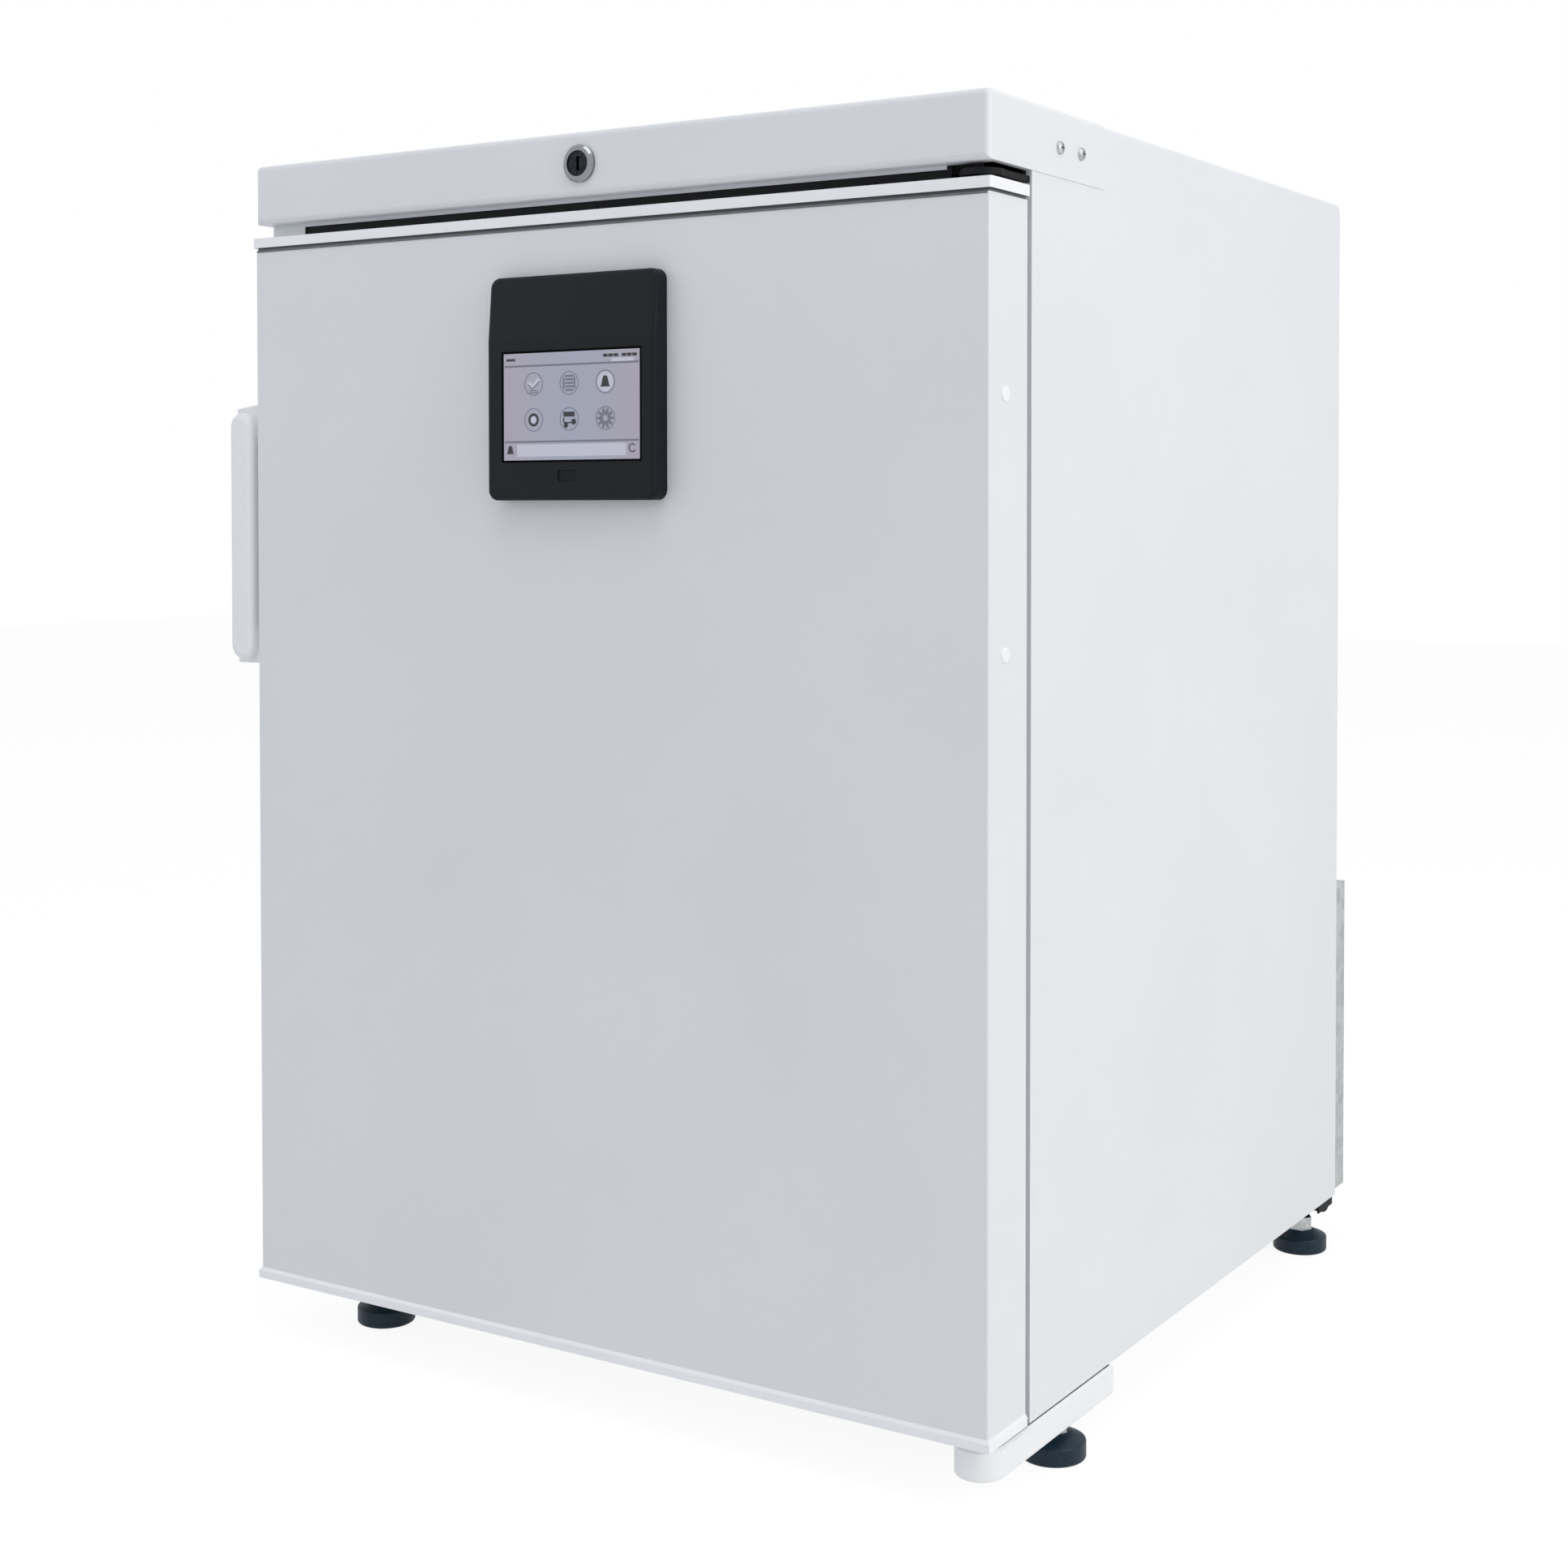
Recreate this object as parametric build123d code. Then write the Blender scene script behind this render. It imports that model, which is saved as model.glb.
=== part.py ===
from build123d import *
import os
from math import sqrt

# Medical refrigerator for a space under a worktop, with one door hinged on the right.
# x runs across the width, y from the door's front face to the back, z up from the floor.
# All sizes are in millimetres.

# Cabinet
cabinet_width = 600.0
cabinet_height = 860.0
base_height = 43.0  # floor to the underside of the body
body_depth = 568.0  # front frame to rear panel
sheet = 1.0  # painted and galvanised steel sheet
rear_top_radius = 11.0
rear_lip = 20.0  # shell turned down over the rear panel
frame_sheet = 2.0
base_sheet = 2.0

# Cold compartment
side_wall = 52.0
floor_wall = 53.0
top_wall = 90.0
rear_wall = 51.0
liner_sheet = 2.0
liner_radius = 14.0
hump_roof = 38.0  # insulation over the machine compartment
hump_wall = 45.0  # insulation in front of it
machine_depth = 196.0
machine_height = 249.0

# Door
door_thickness = 50.0
gasket_gap = 8.0  # closed door to front frame
door_rise = 1.5  # underside of the door above the underside of the body
door_cap_gap = 10.1  # closed door to the cap above it
trim_proud = 1.5
top_trim_height = 7.0
shadow_groove = 2.0
bottom_trim_height = 7.5
bottom_trim_bevel = 2.2
trim_plug = 8.4
skin_edge_radius = 1.5
skin_return = 12.0
door_liner_sheet = 2.0
dike_width = 20.0
dike_height = 20.0
dike_inset = 12.0  # dike inside the compartment's walls
dike_chamfer = 6.0

# Gasket
gasket_offset = 24.0  # gasket centre line outside the compartment's side walls
gasket_offset_top = 12.0
gasket_offset_low = 22.0
magnet_width = 14.0
magnet_height = 4.0
gasket_base = 10.0
gasket_base_height = 1.5
bellows_width = 6.0
dart_width = 3.6
dart_depth = 3.5
seal_gap = 0.3

# Hinges
hinge_inset = 15.0  # pin axis from the cabinet's side
hinge_setback = 19.0  # pin axis behind the door's front face
pin_radius = 4.0
pin_engage = 20.0  # length of pin inside the door
running_gap = 0.05
bush_radius = 8.0
bush_flange_radius = 10.5
bush_flange = 1.2
bush_boss_wall = 2.5
lower_plate = 3.0
lower_plate_length = 151.0
upper_plate = 4.0
upper_plate_drop = 2.6  # space between the door's top and the upper hinge plate
upper_leg_height = 38.0
upper_leg_width = 34.0
hinge_screw_radius = 2.5
hinge_screw_head = 4.5
hinge_screw_head_height = 2.6
hinge_screw_length = 14.0

# Cover of the lower hinge
cover_radius = 16.0
cover_length = 160.0
cover_height = 19.6
cover_wall = 2.0
cover_chamfer = 1.4
cover_plate_gap = 0.5
cover_top_gap = 1.0

# Top cap with the lock
cap_height = 42.4
cap_depth = 163.0
cap_radius = 4.0
cap_flange = 14.0
cap_side_flange = 4.0
cap_screw_first = 95.0
cap_screw_pitch = 31.0
cap_screw_drop = 24.0
cap_screw_radius = 2.5
cap_screw_head = 4.2
cap_screw_head_height = 2.4
cap_screw_length = 14.0

# Black rail behind the top cap
rail_wall = 2.5
rail_front = 14.0
rail_end_gap = 3.0
rail_top_gap = 1.5
rail_rise = 2.6  # underside of the rail above the door's top

# Lock
lock_x = -3.5
lock_drop = 21.5  # lock axis below the cap's top
bezel_radius = 12.5
bezel_height = 3.5
bezel_chamfer = 1.6
housing_radius = 10.4
housing_length = 18.0
barrel_radius = 8.5
barrel_sink = 0.9
key_slot_width = 2.2
key_slot_height = 9.5
key_slot_depth = 4.0
spigot = 7.0
cam_gap = 1.5
cam_thickness = 3.0
cam_width = 14.0
cam_reach = 38.0
cam_clearance = 1.5
slot_depth = 10.0
slot_width = 6.0

# Handle on the left side of the door
handle_drop = 119.4  # top of the handle below the door's top
handle_height = 191.0
handle_slant = 4.0
handle_reach = 30.0
handle_rear = 44.0
handle_front = 0.5
handle_cover_depth = 8.0
handle_cover_width = 23.0
handle_cover_margin = 2.5
handle_cover_radius = 11.0
handle_cover_fillet = 5.0
handle_arm = 26.0
handle_bar_rear = 24.0
handle_plate = 4.0
handle_strip_depth = 6.0
handle_edge_radius = 3.0
handle_screw_radius = 2.5
handle_screw_head = 4.5
handle_screw_head_height = 3.0
handle_screw_length = 12.0

# Plugs in the spare handle holes on the right side of the door
plug_rise = 25.0  # lower plug above the handle's underside
plug_pitch = 157.0
plug_setback = 20.0
plug_shank = 4.0
plug_head = 5.0
plug_dome = 1.6
plug_length = 7.0

# Display unit
display_x = -72.0
display_width = 138.5
display_drop = 41.9  # top of the display below the door's top
display_height = 149.5
display_depth = 14.0
display_slant = 3.7
display_slant_height = 43.0
display_corner = 7.0
display_edge = 3.0
screen_inset_x = 14.0
screen_width = 113.0
screen_low = 26.5
screen_height = 71.5
screen_recess = 2.6
screen_thickness = 2.0
screen_gap = 0.2
port_x = 60.0
port_low = 12.6
port_width = 15.0
port_height = 7.4
port_recess = 2.0
port_lip = 0.6

# Levelling feet: pad on a threaded stem with a hexagon for a spanner
foot_hinge_offset = (2.0, 97.0)  # front right foot from the hinge axis
foot_left_inset = 53.0
foot_left_setback = 18.0  # front left foot behind the front frame
foot_rear_inset = 24.0
foot_rear_setback = 20.0
pad_radius = 21.5
pad_side = 12.0
pad_height = 17.0
pad_neck = 9.5
pad_edge_radius = 2.0
pad_socket = 11.0
socket_gap = 0.1
stem_radius = 5.0
stem_reach = 30.0  # stem above the underside of the body
hexagon_flat = 17.0
hexagon_height = 10.0
insert_radius = 9.0
insert_height = 22.0
stem_pocket_radius = 6.0
stem_pocket_gap = 7.0

# Transport rollers at the rear edge
roller_radius = 12.0
roller_width = 18.0
roller_side_gap = 1.5
roller_setback = 13.0  # roller axis behind the rear panel
roller_drop = 8.0  # roller axis below the underside of the body
roller_inset = 13.0
axle_radius = 3.0
ear_thickness = 1.5
ear_drop = 14.0
ear_margin = 6.0
ear_length = 33.0
bracket_plate_depth = 12.0

# Rear cover with louvres over the machine compartment
rear_cover_depth = 20.0
rear_cover_rise = 5.0
rear_cover_overlap = 9.0  # onto the rear panel above the machine compartment
louvre_columns = 3
louvre_rows = 7
louvre_width = 130.0
louvre_slot = 6.0
louvre_pitch_x = 170.0
louvre_pitch_z = 18.0
louvre_first = 100.0
louvre_hood = 4.0
louvre_sheet = 1.0
cover_screw_radius = 2.0
cover_screw_head = 4.0
cover_screw_head_height = 2.0
cover_screw_inset = 14.0
spacer_height = 24.0
spacer_width = 14.0
spacer_depth = 3.0
spacer_drop = 237.0  # underside of the spacers below the cabinet's top

# Mains inlet
inlet_x = -205.0
inlet_z = 92.0
inlet_width = 48.0
inlet_height = 28.0
inlet_flange = 3.0
inlet_socket_width = 24.0
inlet_socket_height = 16.5
inlet_socket_depth = 16.0
inlet_body_margin = 3.0
inlet_pin_width = 4.0
inlet_pin_thickness = 2.0
inlet_pin_length = 10.0
inlet_pin_spread = 7.0

# Machine compartment
compressor_x = -110.0
compressor_radius = 70.0
compressor_height = 150.0
compressor_dome = 28.0
compressor_foot_span = 150.0
compressor_foot_width = 120.0
compressor_foot_sheet = 3.0
grommet_radius = 11.0
grommet_height = 14.0
terminal_box = (44.0, 26.0, 56.0)
drip_tray_size = 130.0
drip_tray_height = 24.0
drip_tray_wall = 2.0
condenser_x = 95.0
condenser_width = 150.0
condenser_depth = 40.0
condenser_height = 150.0
condenser_rear_gap = 12.0
condenser_fins = 18
tube_radius = 4.0
tube_rows = 4
pipe_radius = 3.0
pipe_bend = 7.0

# Evaporator and fan behind a cover at the rear of the compartment
evaporator_side_gap = 45.0
evaporator_fan_gap = 15.0
evaporator_depth = 26.0
evaporator_rear_gap = 3.0
evaporator_fins = 30
evaporator_rise = 40.0
duct_side_gap = 33.0
duct_top_gap = 22.0
duct_depth = 55.0
duct_wall = 2.0
duct_rise = 18.0
duct_radius = 10.0
intake_slots = 14
intake_slot_width = 8.0
intake_slot_height = 60.0
intake_margin = 47.0
fan_drop = 67.0  # fan axis below the duct's top
fan_opening = 44.0
grille_bar = 2.5
grille_rings = 3
fan_hub = 14.0
fan_tip = 38.0
fan_length = 12.0
fan_front_gap = 6.0
fan_blades = 5
blade_thickness = 1.6
blade_root_angle = 50.0
blade_tip_angle = 65.0
motor_radius = 22.0
motor_length = 26.0
shaft_radius = 2.5

# Shelves
shelf_count = 3
shelf_first = 31.0  # first shelf above the step in the liner
shelf_headroom = 13.0  # added to the space above the top shelf
shelf_front_gap = 25.0  # shelf to the dike of the closed door
shelf_rear_gap = 15.0
shelf_sheet = 1.5
shelf_lip = 12.0
shelf_side_gap = 3.0
shelf_seat_gap = 0.3
shelf_slots = 15
shelf_slot_rows = 2
shelf_slot_width = 8.0
shelf_slot_bridge = 45.0  # between the rows of slots
shelf_slot_margin = 35.0
rail_sheet = 1.5
rail_shelf_width = 17.0
rail_shelf_height = 16.0
rail_shelf_rear_gap = 62.0

past = 1.0  # how far a cutting tool runs past a face
hole_gap = 0.1

# Places worked out from the sizes
half_width = cabinet_width / 2
shell_half = half_width - sheet
inner_half = shell_half - sheet
shell_top = cabinet_height - sheet
inner_top = shell_top - sheet
body_front = door_thickness + gasket_gap
body_rear = body_front + body_depth
inner_rear = body_rear - sheet
frame_rear = body_front + frame_sheet
base_top = base_height + base_sheet

cavity_half = half_width - side_wall
cavity_low = base_height + floor_wall
cavity_top = cabinet_height - top_wall
cavity_rear = body_rear - rear_wall
machine_front = body_rear - machine_depth
machine_top = base_height + machine_height
hump_front = machine_front - hump_wall
hump_top = machine_top + hump_roof

door_low = base_height + door_rise
door_top = cabinet_height - cap_height - door_cap_gap
skin_low = door_low + bottom_trim_height
skin_top = door_top - top_trim_height - shadow_groove
core_low = skin_low + trim_plug
core_top = skin_top - trim_plug + shadow_groove
door_inner = half_width - sheet
liner_half = half_width - skin_return
core_rear = door_thickness - door_liner_sheet
dike_rear = door_thickness + dike_height

gasket_half = cavity_half + gasket_offset
gasket_low = cavity_low - gasket_offset_low
gasket_top = cavity_top + gasket_offset_top

hinge_x = half_width - hinge_inset
hinge_y = hinge_setback
lower_plate_low = base_height - lower_plate
upper_plate_low = door_top + upper_plate_drop
upper_plate_top = upper_plate_low + upper_plate

cover_top = base_height - cover_top_gap
cover_low = cover_top - cover_height
cover_rear = hinge_y + cover_length

cap_low = cabinet_height - cap_height
cap_screw_z = cabinet_height - cap_screw_drop
rail_low = door_top + rail_rise
rail_top = shell_top - rail_top_gap
rail_half = inner_half - rail_end_gap

lock_z = cabinet_height - lock_drop
cam_front = housing_length + cam_gap
cam_rear = cam_front + cam_thickness
slot_half_y = slot_width / 2
slot_y = (cam_front + cam_rear) / 2

handle_x = -half_width - handle_reach
handle_top = door_top - handle_drop
handle_low = handle_top - handle_height
handle_body_front = handle_front + handle_cover_depth

plug_z = (handle_low + plug_rise, handle_low + plug_rise + plug_pitch)
screw_z = plug_z
display_top = door_top - display_drop
display_low = display_top - display_height
screen_x = display_x + screen_inset_x
screen_z = display_low + screen_low

foot_front_right = (hinge_x + foot_hinge_offset[0], hinge_y + foot_hinge_offset[1])
foot_front_left = (-half_width + foot_left_inset, body_front + foot_left_setback)
feet = {
    "front_left": foot_front_left,
    "front_right": foot_front_right,
    "rear_left": (-half_width + foot_rear_inset, body_rear - foot_rear_setback),
    "rear_right": (half_width - foot_rear_inset, body_rear - foot_rear_setback),
}
roller_y = body_rear + roller_setback
roller_height = base_height - roller_drop
roller_outer = half_width - roller_inset
rear_cover_low = base_height + rear_cover_rise
rear_cover_top = machine_top + rear_cover_overlap
rear_cover_rear = body_rear + rear_cover_depth

compressor_y = (machine_front + body_rear) / 2
compressor_low = base_top + grommet_height
compressor_top = compressor_low + compressor_foot_sheet + compressor_height
condenser_rear = body_rear - condenser_rear_gap
duct_low = hump_top + duct_rise
duct_top = cavity_top - duct_top_gap
duct_width = 2 * (cavity_half - duct_side_gap)
evaporator_width = duct_width - 2 * evaporator_side_gap
duct_front = cavity_rear - duct_depth
fan_z = duct_top - fan_drop
evaporator_low = duct_low + evaporator_rise
evaporator_top = fan_z - fan_opening - evaporator_fan_gap
fan_front = duct_front + duct_wall + fan_front_gap
shelf_front = dike_rear + shelf_front_gap
shelf_rear = duct_front - shelf_rear_gap
shelf_pitch = (cavity_top - hump_top - shelf_first - shelf_headroom) / shelf_count
shelf_z = [hump_top + shelf_first + shelf_pitch * i for i in range(shelf_count)]
spacer_low = cabinet_height - spacer_drop


def block(x0, x1, y0, y1, z0, z1):
    """Box between two corners."""
    return Pos((x0 + x1) / 2, (y0 + y1) / 2, (z0 + z1) / 2) * Box(x1 - x0, y1 - y0, z1 - z0)


def rod_x(y, z, x0, x1, radius):
    return Pos((x0 + x1) / 2, y, z) * Rot(0, 90, 0) * Cylinder(radius, x1 - x0)


def rod_y(x, z, y0, y1, radius):
    return Pos(x, (y0 + y1) / 2, z) * Rot(90, 0, 0) * Cylinder(radius, y1 - y0)


def rod_z(x, y, z0, z1, radius):
    return Pos(x, y, (z0 + z1) / 2) * Cylinder(radius, z1 - z0)


def rectangle(u0, u1, v0, v1, radius=0.0):
    """Rectangle between two corners, with round corners where a radius is given."""
    shape = RectangleRounded(u1 - u0, v1 - v0, radius) if radius else Rectangle(u1 - u0, v1 - v0)
    return Pos((u0 + u1) / 2, (v0 + v1) / 2) * shape


def plate_x(sketch, x0, x1):
    """Sketch in y and z, thick from x0 to x1."""
    return extrude(Plane.YZ.offset(x0) * sketch, x1 - x0, dir=(1, 0, 0))


def plate_y(sketch, y0, y1):
    """Sketch in x and z, thick from y0 to y1."""
    return extrude(Plane.XZ.offset(-y0) * sketch, y1 - y0, dir=(0, 1, 0))


def plate_z(sketch, z0, z1):
    """Sketch in x and y, thick from z0 to z1."""
    return extrude(Plane.XY.offset(z0) * sketch, z1 - z0, dir=(0, 0, 1))


def outline(points):
    return Polygon(*points, align=None)


def pan_screw_z(x, y, face, radius, head, head_height, length):
    """Screw from below: its head hangs under a face, its shank goes up."""
    return rod_z(x, y, face - head_height, face, head) + rod_z(x, y, face, face + length, radius)


def rounded_body(half, front, rear, low, top, fold):
    """Box with the shell's folds: wide over the rear, tight along both sides."""
    across = block(-half, half, front, rear, low, top)
    rear_edge = max(across.edges().filter_by(Axis.X), key=lambda e: e.center().Y + e.center().Z)
    across = fillet(rear_edge, rear_top_radius - cap_radius + fold)
    along = block(-half, half, front, rear, low, top)
    side_edges = [e for e in along.edges().filter_by(Axis.Y) if e.center().Z > top - past]
    return across & fillet(side_edges, fold)


def cavity(grow):
    """Space of the cold compartment with the step over the machines, grown on all sides."""
    half = cavity_half + grow
    space = block(-half, half, frame_rear, cavity_rear + grow, cavity_low - grow, cavity_top + grow)
    space -= block(-half_width, half_width, hump_front + grow, body_rear, base_height, hump_top - grow)
    inner = [e for e in space.edges() if e.center().Y > frame_rear + past]
    corners = [e for e in inner if not _is_step_nose(e, grow)]
    return fillet(corners, liner_radius + grow)


def _is_step_nose(edge, grow):
    """The step's own outer edge, which stays a tighter corner."""
    on_front = abs(edge.center().Y - hump_front - grow) < past
    on_top = abs(edge.center().Z - hump_top + grow) < past
    return on_front and on_top


def make_outer_shell():
    shell = rounded_body(shell_half, body_front, body_rear, base_height, shell_top, cap_radius - sheet)
    shell -= rounded_body(
        inner_half, body_front - past, inner_rear, base_height - past, inner_top, cap_radius - 2 * sheet
    )
    rear_opening_top = shell_top - rear_lip
    shell -= block(-inner_half, inner_half, inner_rear - past, body_rear + past, base_height, rear_opening_top)
    for side in (-1, 1):
        for y in cap_screw_places():
            shell -= rod_x(y, cap_screw_z, side * shell_half - 2 * sheet, side * shell_half + 2 * sheet,
                           cap_screw_radius + hole_gap)
    return shell


def cap_screw_places():
    return (cap_screw_first, cap_screw_first + cap_screw_pitch)


def make_rear_panel():
    return block(-inner_half, inner_half, inner_rear, body_rear, rear_cover_top, shell_top - rear_lip)


def lower_screw_places():
    """Three screws that hold the lower hinge plate under the body."""
    foot_y = foot_front_right[1]
    clear = insert_radius + hinge_screw_head + 2 * past
    return (foot_y - 2 * clear, foot_y - clear, foot_y + clear)


def make_base_panel():
    panel = block(-inner_half, inner_half, body_front, machine_front, base_height, base_top)
    for x, y in (foot_front_left, foot_front_right):
        panel -= rod_z(x, y, base_height - past, base_top + past, insert_radius)
    for y in lower_screw_places():
        panel -= rod_z(hinge_x, y, base_height - past, base_top + past, hinge_screw_radius + hole_gap)
    return panel


def make_compressor_tray():
    tray = block(-inner_half, inner_half, machine_front, body_rear, base_height, base_top)
    for name in ("rear_left", "rear_right"):
        x, y = feet[name]
        tray -= rod_z(x, y, base_height - past, base_top + past, insert_radius)
    return tray


def make_cabinet_foam():
    foam = rounded_body(inner_half, frame_rear, inner_rear, base_top, inner_top, cap_radius - 2 * sheet)
    foam -= cavity(liner_sheet)
    foam -= block(-half_width, half_width, machine_front, body_rear + past, base_height, machine_top)
    for x, y in (foot_front_left, foot_front_right):
        foam -= rod_z(x, y, base_height, base_height + insert_height, insert_radius)
        pocket_top = base_height + stem_reach + stem_pocket_gap
        foam -= rod_z(x, y, base_height, pocket_top, stem_pocket_radius)
    for y in lower_screw_places():
        screw_top = base_height + hinge_screw_length
        foam -= rod_z(hinge_x, y, base_height, screw_top, hinge_screw_radius + hole_gap)
    for side in (-1, 1):
        for y in cap_screw_places():
            foam -= rod_x(y, cap_screw_z, side * (half_width - cap_screw_length / 2) - cap_screw_length / 2,
                          side * (half_width - cap_screw_length / 2) + cap_screw_length / 2,
                          cap_screw_radius + hole_gap)
    for z in upper_screw_places():
        foam -= rod_y(hinge_x, z, body_front, body_front + hinge_screw_length, hinge_screw_radius + hole_gap)
    return foam


def make_inner_liner():
    return cavity(liner_sheet) - cavity(0.0)


def make_front_frame():
    frame = block(-inner_half, inner_half, body_front, frame_rear, base_top, inner_top - cap_radius)
    mouth = rectangle(-cavity_half, cavity_half, cavity_low, cavity_top, liner_radius)
    frame -= plate_y(mouth, body_front - past, frame_rear + past)
    for z in upper_screw_places():
        frame -= rod_y(hinge_x, z, body_front - past, frame_rear + past, hinge_screw_radius + hole_gap)
    return frame


def make_top_cap():
    """Folded cover: front face, top, two side wings and a turned-in flange below."""
    cap = block(-half_width, half_width, 0.0, cap_depth, cap_low, cabinet_height)
    folds = [e for e in cap.edges() if e.center().Y < past or e.center().Z > cabinet_height - past]
    folds = [e for e in folds if e.center().Y < cap_depth - past]
    cap = fillet(folds, cap_radius)
    inside = block(-shell_half, shell_half, sheet, cap_depth + past, cap_low + sheet, shell_top)
    inside_edges = [e for e in inside.edges() if e.center().Y < cap_depth]
    hollow_folds = [e for e in inside_edges if e.center().Y < sheet + past or e.center().Z > shell_top - past]
    cap -= fillet(hollow_folds, cap_radius - sheet)
    opening_half = shell_half - cap_side_flange
    for half, front in ((opening_half, cap_flange), (shell_half, body_front - past)):
        cap -= block(-half, half, front, cap_depth + past, cap_low - past, cap_low + 2 * sheet)
    cap -= rod_y(lock_x, lock_z, -past, sheet + past, housing_radius + hole_gap)
    for side in (-1, 1):
        for y in cap_screw_places():
            cap -= rod_x(y, cap_screw_z, side * half_width - 2 * sheet, side * half_width + 2 * sheet,
                         cap_screw_radius + hole_gap)
    return cap


def make_cap_screws():
    screws = []
    for side in (-1, 1):
        for y in cap_screw_places():
            head = rod_x(y, cap_screw_z, half_width, half_width + cap_screw_head_height, cap_screw_head)
            crown = head.edges().filter_by(GeomType.CIRCLE).sort_by(Axis.X)[-1]
            head = fillet(crown, cap_screw_head_height * 0.8)
            shank = rod_x(y, cap_screw_z, half_width - cap_screw_length, half_width, cap_screw_radius)
            recess = block(half_width + cap_screw_head_height / 2, half_width + cap_screw_head_height + past,
                           y - 0.5, y + 0.5, cap_screw_z - 2.2, cap_screw_z + 2.2)
            recess += block(half_width + cap_screw_head_height / 2, half_width + cap_screw_head_height + past,
                            y - 2.2, y + 2.2, cap_screw_z - 0.5, cap_screw_z + 0.5)
            screw = head + shank - recess
            screws.append(screw if side > 0 else mirror(screw, Plane.YZ))
    return screws


def make_top_rail():
    """Black channel behind the cap, open to the back, with room for the lock and the hinge."""
    rail = block(-rail_half, rail_half, rail_front, body_front, rail_low, rail_top)
    rail -= block(-rail_half + rail_wall, rail_half - rail_wall, rail_front + rail_wall, body_front + past,
                  rail_low + rail_wall, rail_top - rail_wall)
    rail -= rod_y(lock_x, lock_z, rail_front - past, rail_front + rail_wall + past, housing_radius + past)
    rail -= lock_slot(rail_low - past, rail_low + rail_wall + past)
    leg_left = hinge_x - upper_leg_width / 2 - past
    rail -= block(leg_left, half_width, -past, body_front + past, rail_low - past, upper_leg_top() + past)
    return rail


def upper_leg_top():
    return upper_plate_low + upper_leg_height


def upper_screw_places():
    return (upper_plate_top + upper_leg_height * 0.3, upper_plate_top + upper_leg_height * 0.7)


def lock_slot(low, top):
    """Slot that the cam's tip swings through, as long as its sweep at the slot's upper face."""
    fall = lock_z - top
    sweep = sqrt(max(cam_reach**2 - fall**2, 0.0)) if fall < cam_reach else 0.0
    right = lock_x + max(sweep, cam_width / 2) + cam_clearance
    left = lock_x - cam_width / 2 - cam_clearance
    return block(left, right, slot_y - slot_half_y, slot_y + slot_half_y, low, top)


def make_lock_housing():
    bezel = rod_y(lock_x, lock_z, -bezel_height, 0.0, bezel_radius)
    bezel = chamfer(bezel.edges().filter_by(GeomType.CIRCLE).sort_by(Axis.Y)[0], bezel_chamfer)
    housing = bezel + rod_y(lock_x, lock_z, 0.0, housing_length, housing_radius)
    bore = barrel_radius + running_gap
    return housing - rod_y(lock_x, lock_z, -bezel_height - past, housing_length + past, bore)


def make_lock_barrel():
    front = -bezel_height + barrel_sink
    barrel = rod_y(lock_x, lock_z, front, cam_front, barrel_radius)
    key_slot = rectangle(lock_x - key_slot_width / 2, lock_x + key_slot_width / 2,
                         lock_z - key_slot_height / 2, lock_z + key_slot_height / 2)
    barrel -= plate_y(key_slot, front - past, front + key_slot_depth)
    half = spigot / 2
    square = rectangle(lock_x - half, lock_x + half, lock_z - half, lock_z + half)
    return barrel + plate_y(square, cam_front, cam_rear + past)


def make_lock_cam():
    """Flat cam with round ends, level while the lock is open."""
    length = cam_reach + cam_width / 2
    shape = Pos(lock_x + (cam_reach - cam_width / 2) / 2, lock_z) * SlotOverall(length, cam_width)
    hole = spigot / 2 + hole_gap
    shape -= rectangle(lock_x - hole, lock_x + hole, lock_z - hole, lock_z + hole)
    return plate_y(shape, cam_front, cam_rear)


def make_upper_hinge_bracket():
    nose = Pos(hinge_x, hinge_y) * Circle(cover_radius - cover_wall - cover_plate_gap)
    arm_half = cover_radius - cover_wall - cover_plate_gap
    arm = rectangle(hinge_x - arm_half, hinge_x + arm_half - past, hinge_y, body_front)
    bracket = plate_z(nose + arm, upper_plate_low, upper_plate_top)
    leg_right = shell_half - cap_side_flange
    bracket += block(hinge_x - upper_leg_width / 2, leg_right, body_front - upper_plate, body_front,
                     upper_plate_low, upper_leg_top())
    for z in upper_screw_places():
        bracket -= rod_y(hinge_x, z, body_front - upper_plate - past, body_front + past,
                         hinge_screw_radius + hole_gap)
    return bracket + rod_z(hinge_x, hinge_y, door_top - pin_engage, upper_plate_low, pin_radius)


def make_lower_hinge_bracket():
    half = cover_radius - cover_wall - cover_plate_gap
    shape = Pos(hinge_x, hinge_y) * Circle(half)
    shape += rectangle(hinge_x - half, hinge_x + half, hinge_y, hinge_y + lower_plate_length)
    bracket = plate_z(shape, lower_plate_low, base_height)
    bracket -= rod_z(*foot_front_right, lower_plate_low - past, base_height + past, stem_pocket_radius)
    for y in lower_screw_places():
        bracket -= rod_z(hinge_x, y, lower_plate_low - past, base_height + past, hinge_screw_radius + hole_gap)
    return bracket + rod_z(hinge_x, hinge_y, base_height, door_low + pin_engage, pin_radius)


def make_hinge_screws():
    screws = []
    for y in lower_screw_places():
        screws.append(pan_screw_z(hinge_x, y, lower_plate_low, hinge_screw_radius, hinge_screw_head,
                                  hinge_screw_head_height, hinge_screw_length))
    for z in upper_screw_places():
        face = body_front - upper_plate
        head = rod_y(hinge_x, z, face - hinge_screw_head_height, face, hinge_screw_head)
        screws.append(head + rod_y(hinge_x, z, face, body_front + hinge_screw_length, hinge_screw_radius))
    return screws


def cover_outline(radius):
    inset = cover_radius - radius
    shape = Pos(hinge_x, hinge_y) * Circle(radius)
    return shape + rectangle(hinge_x - radius, hinge_x + radius, hinge_y, cover_rear - inset)


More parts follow.
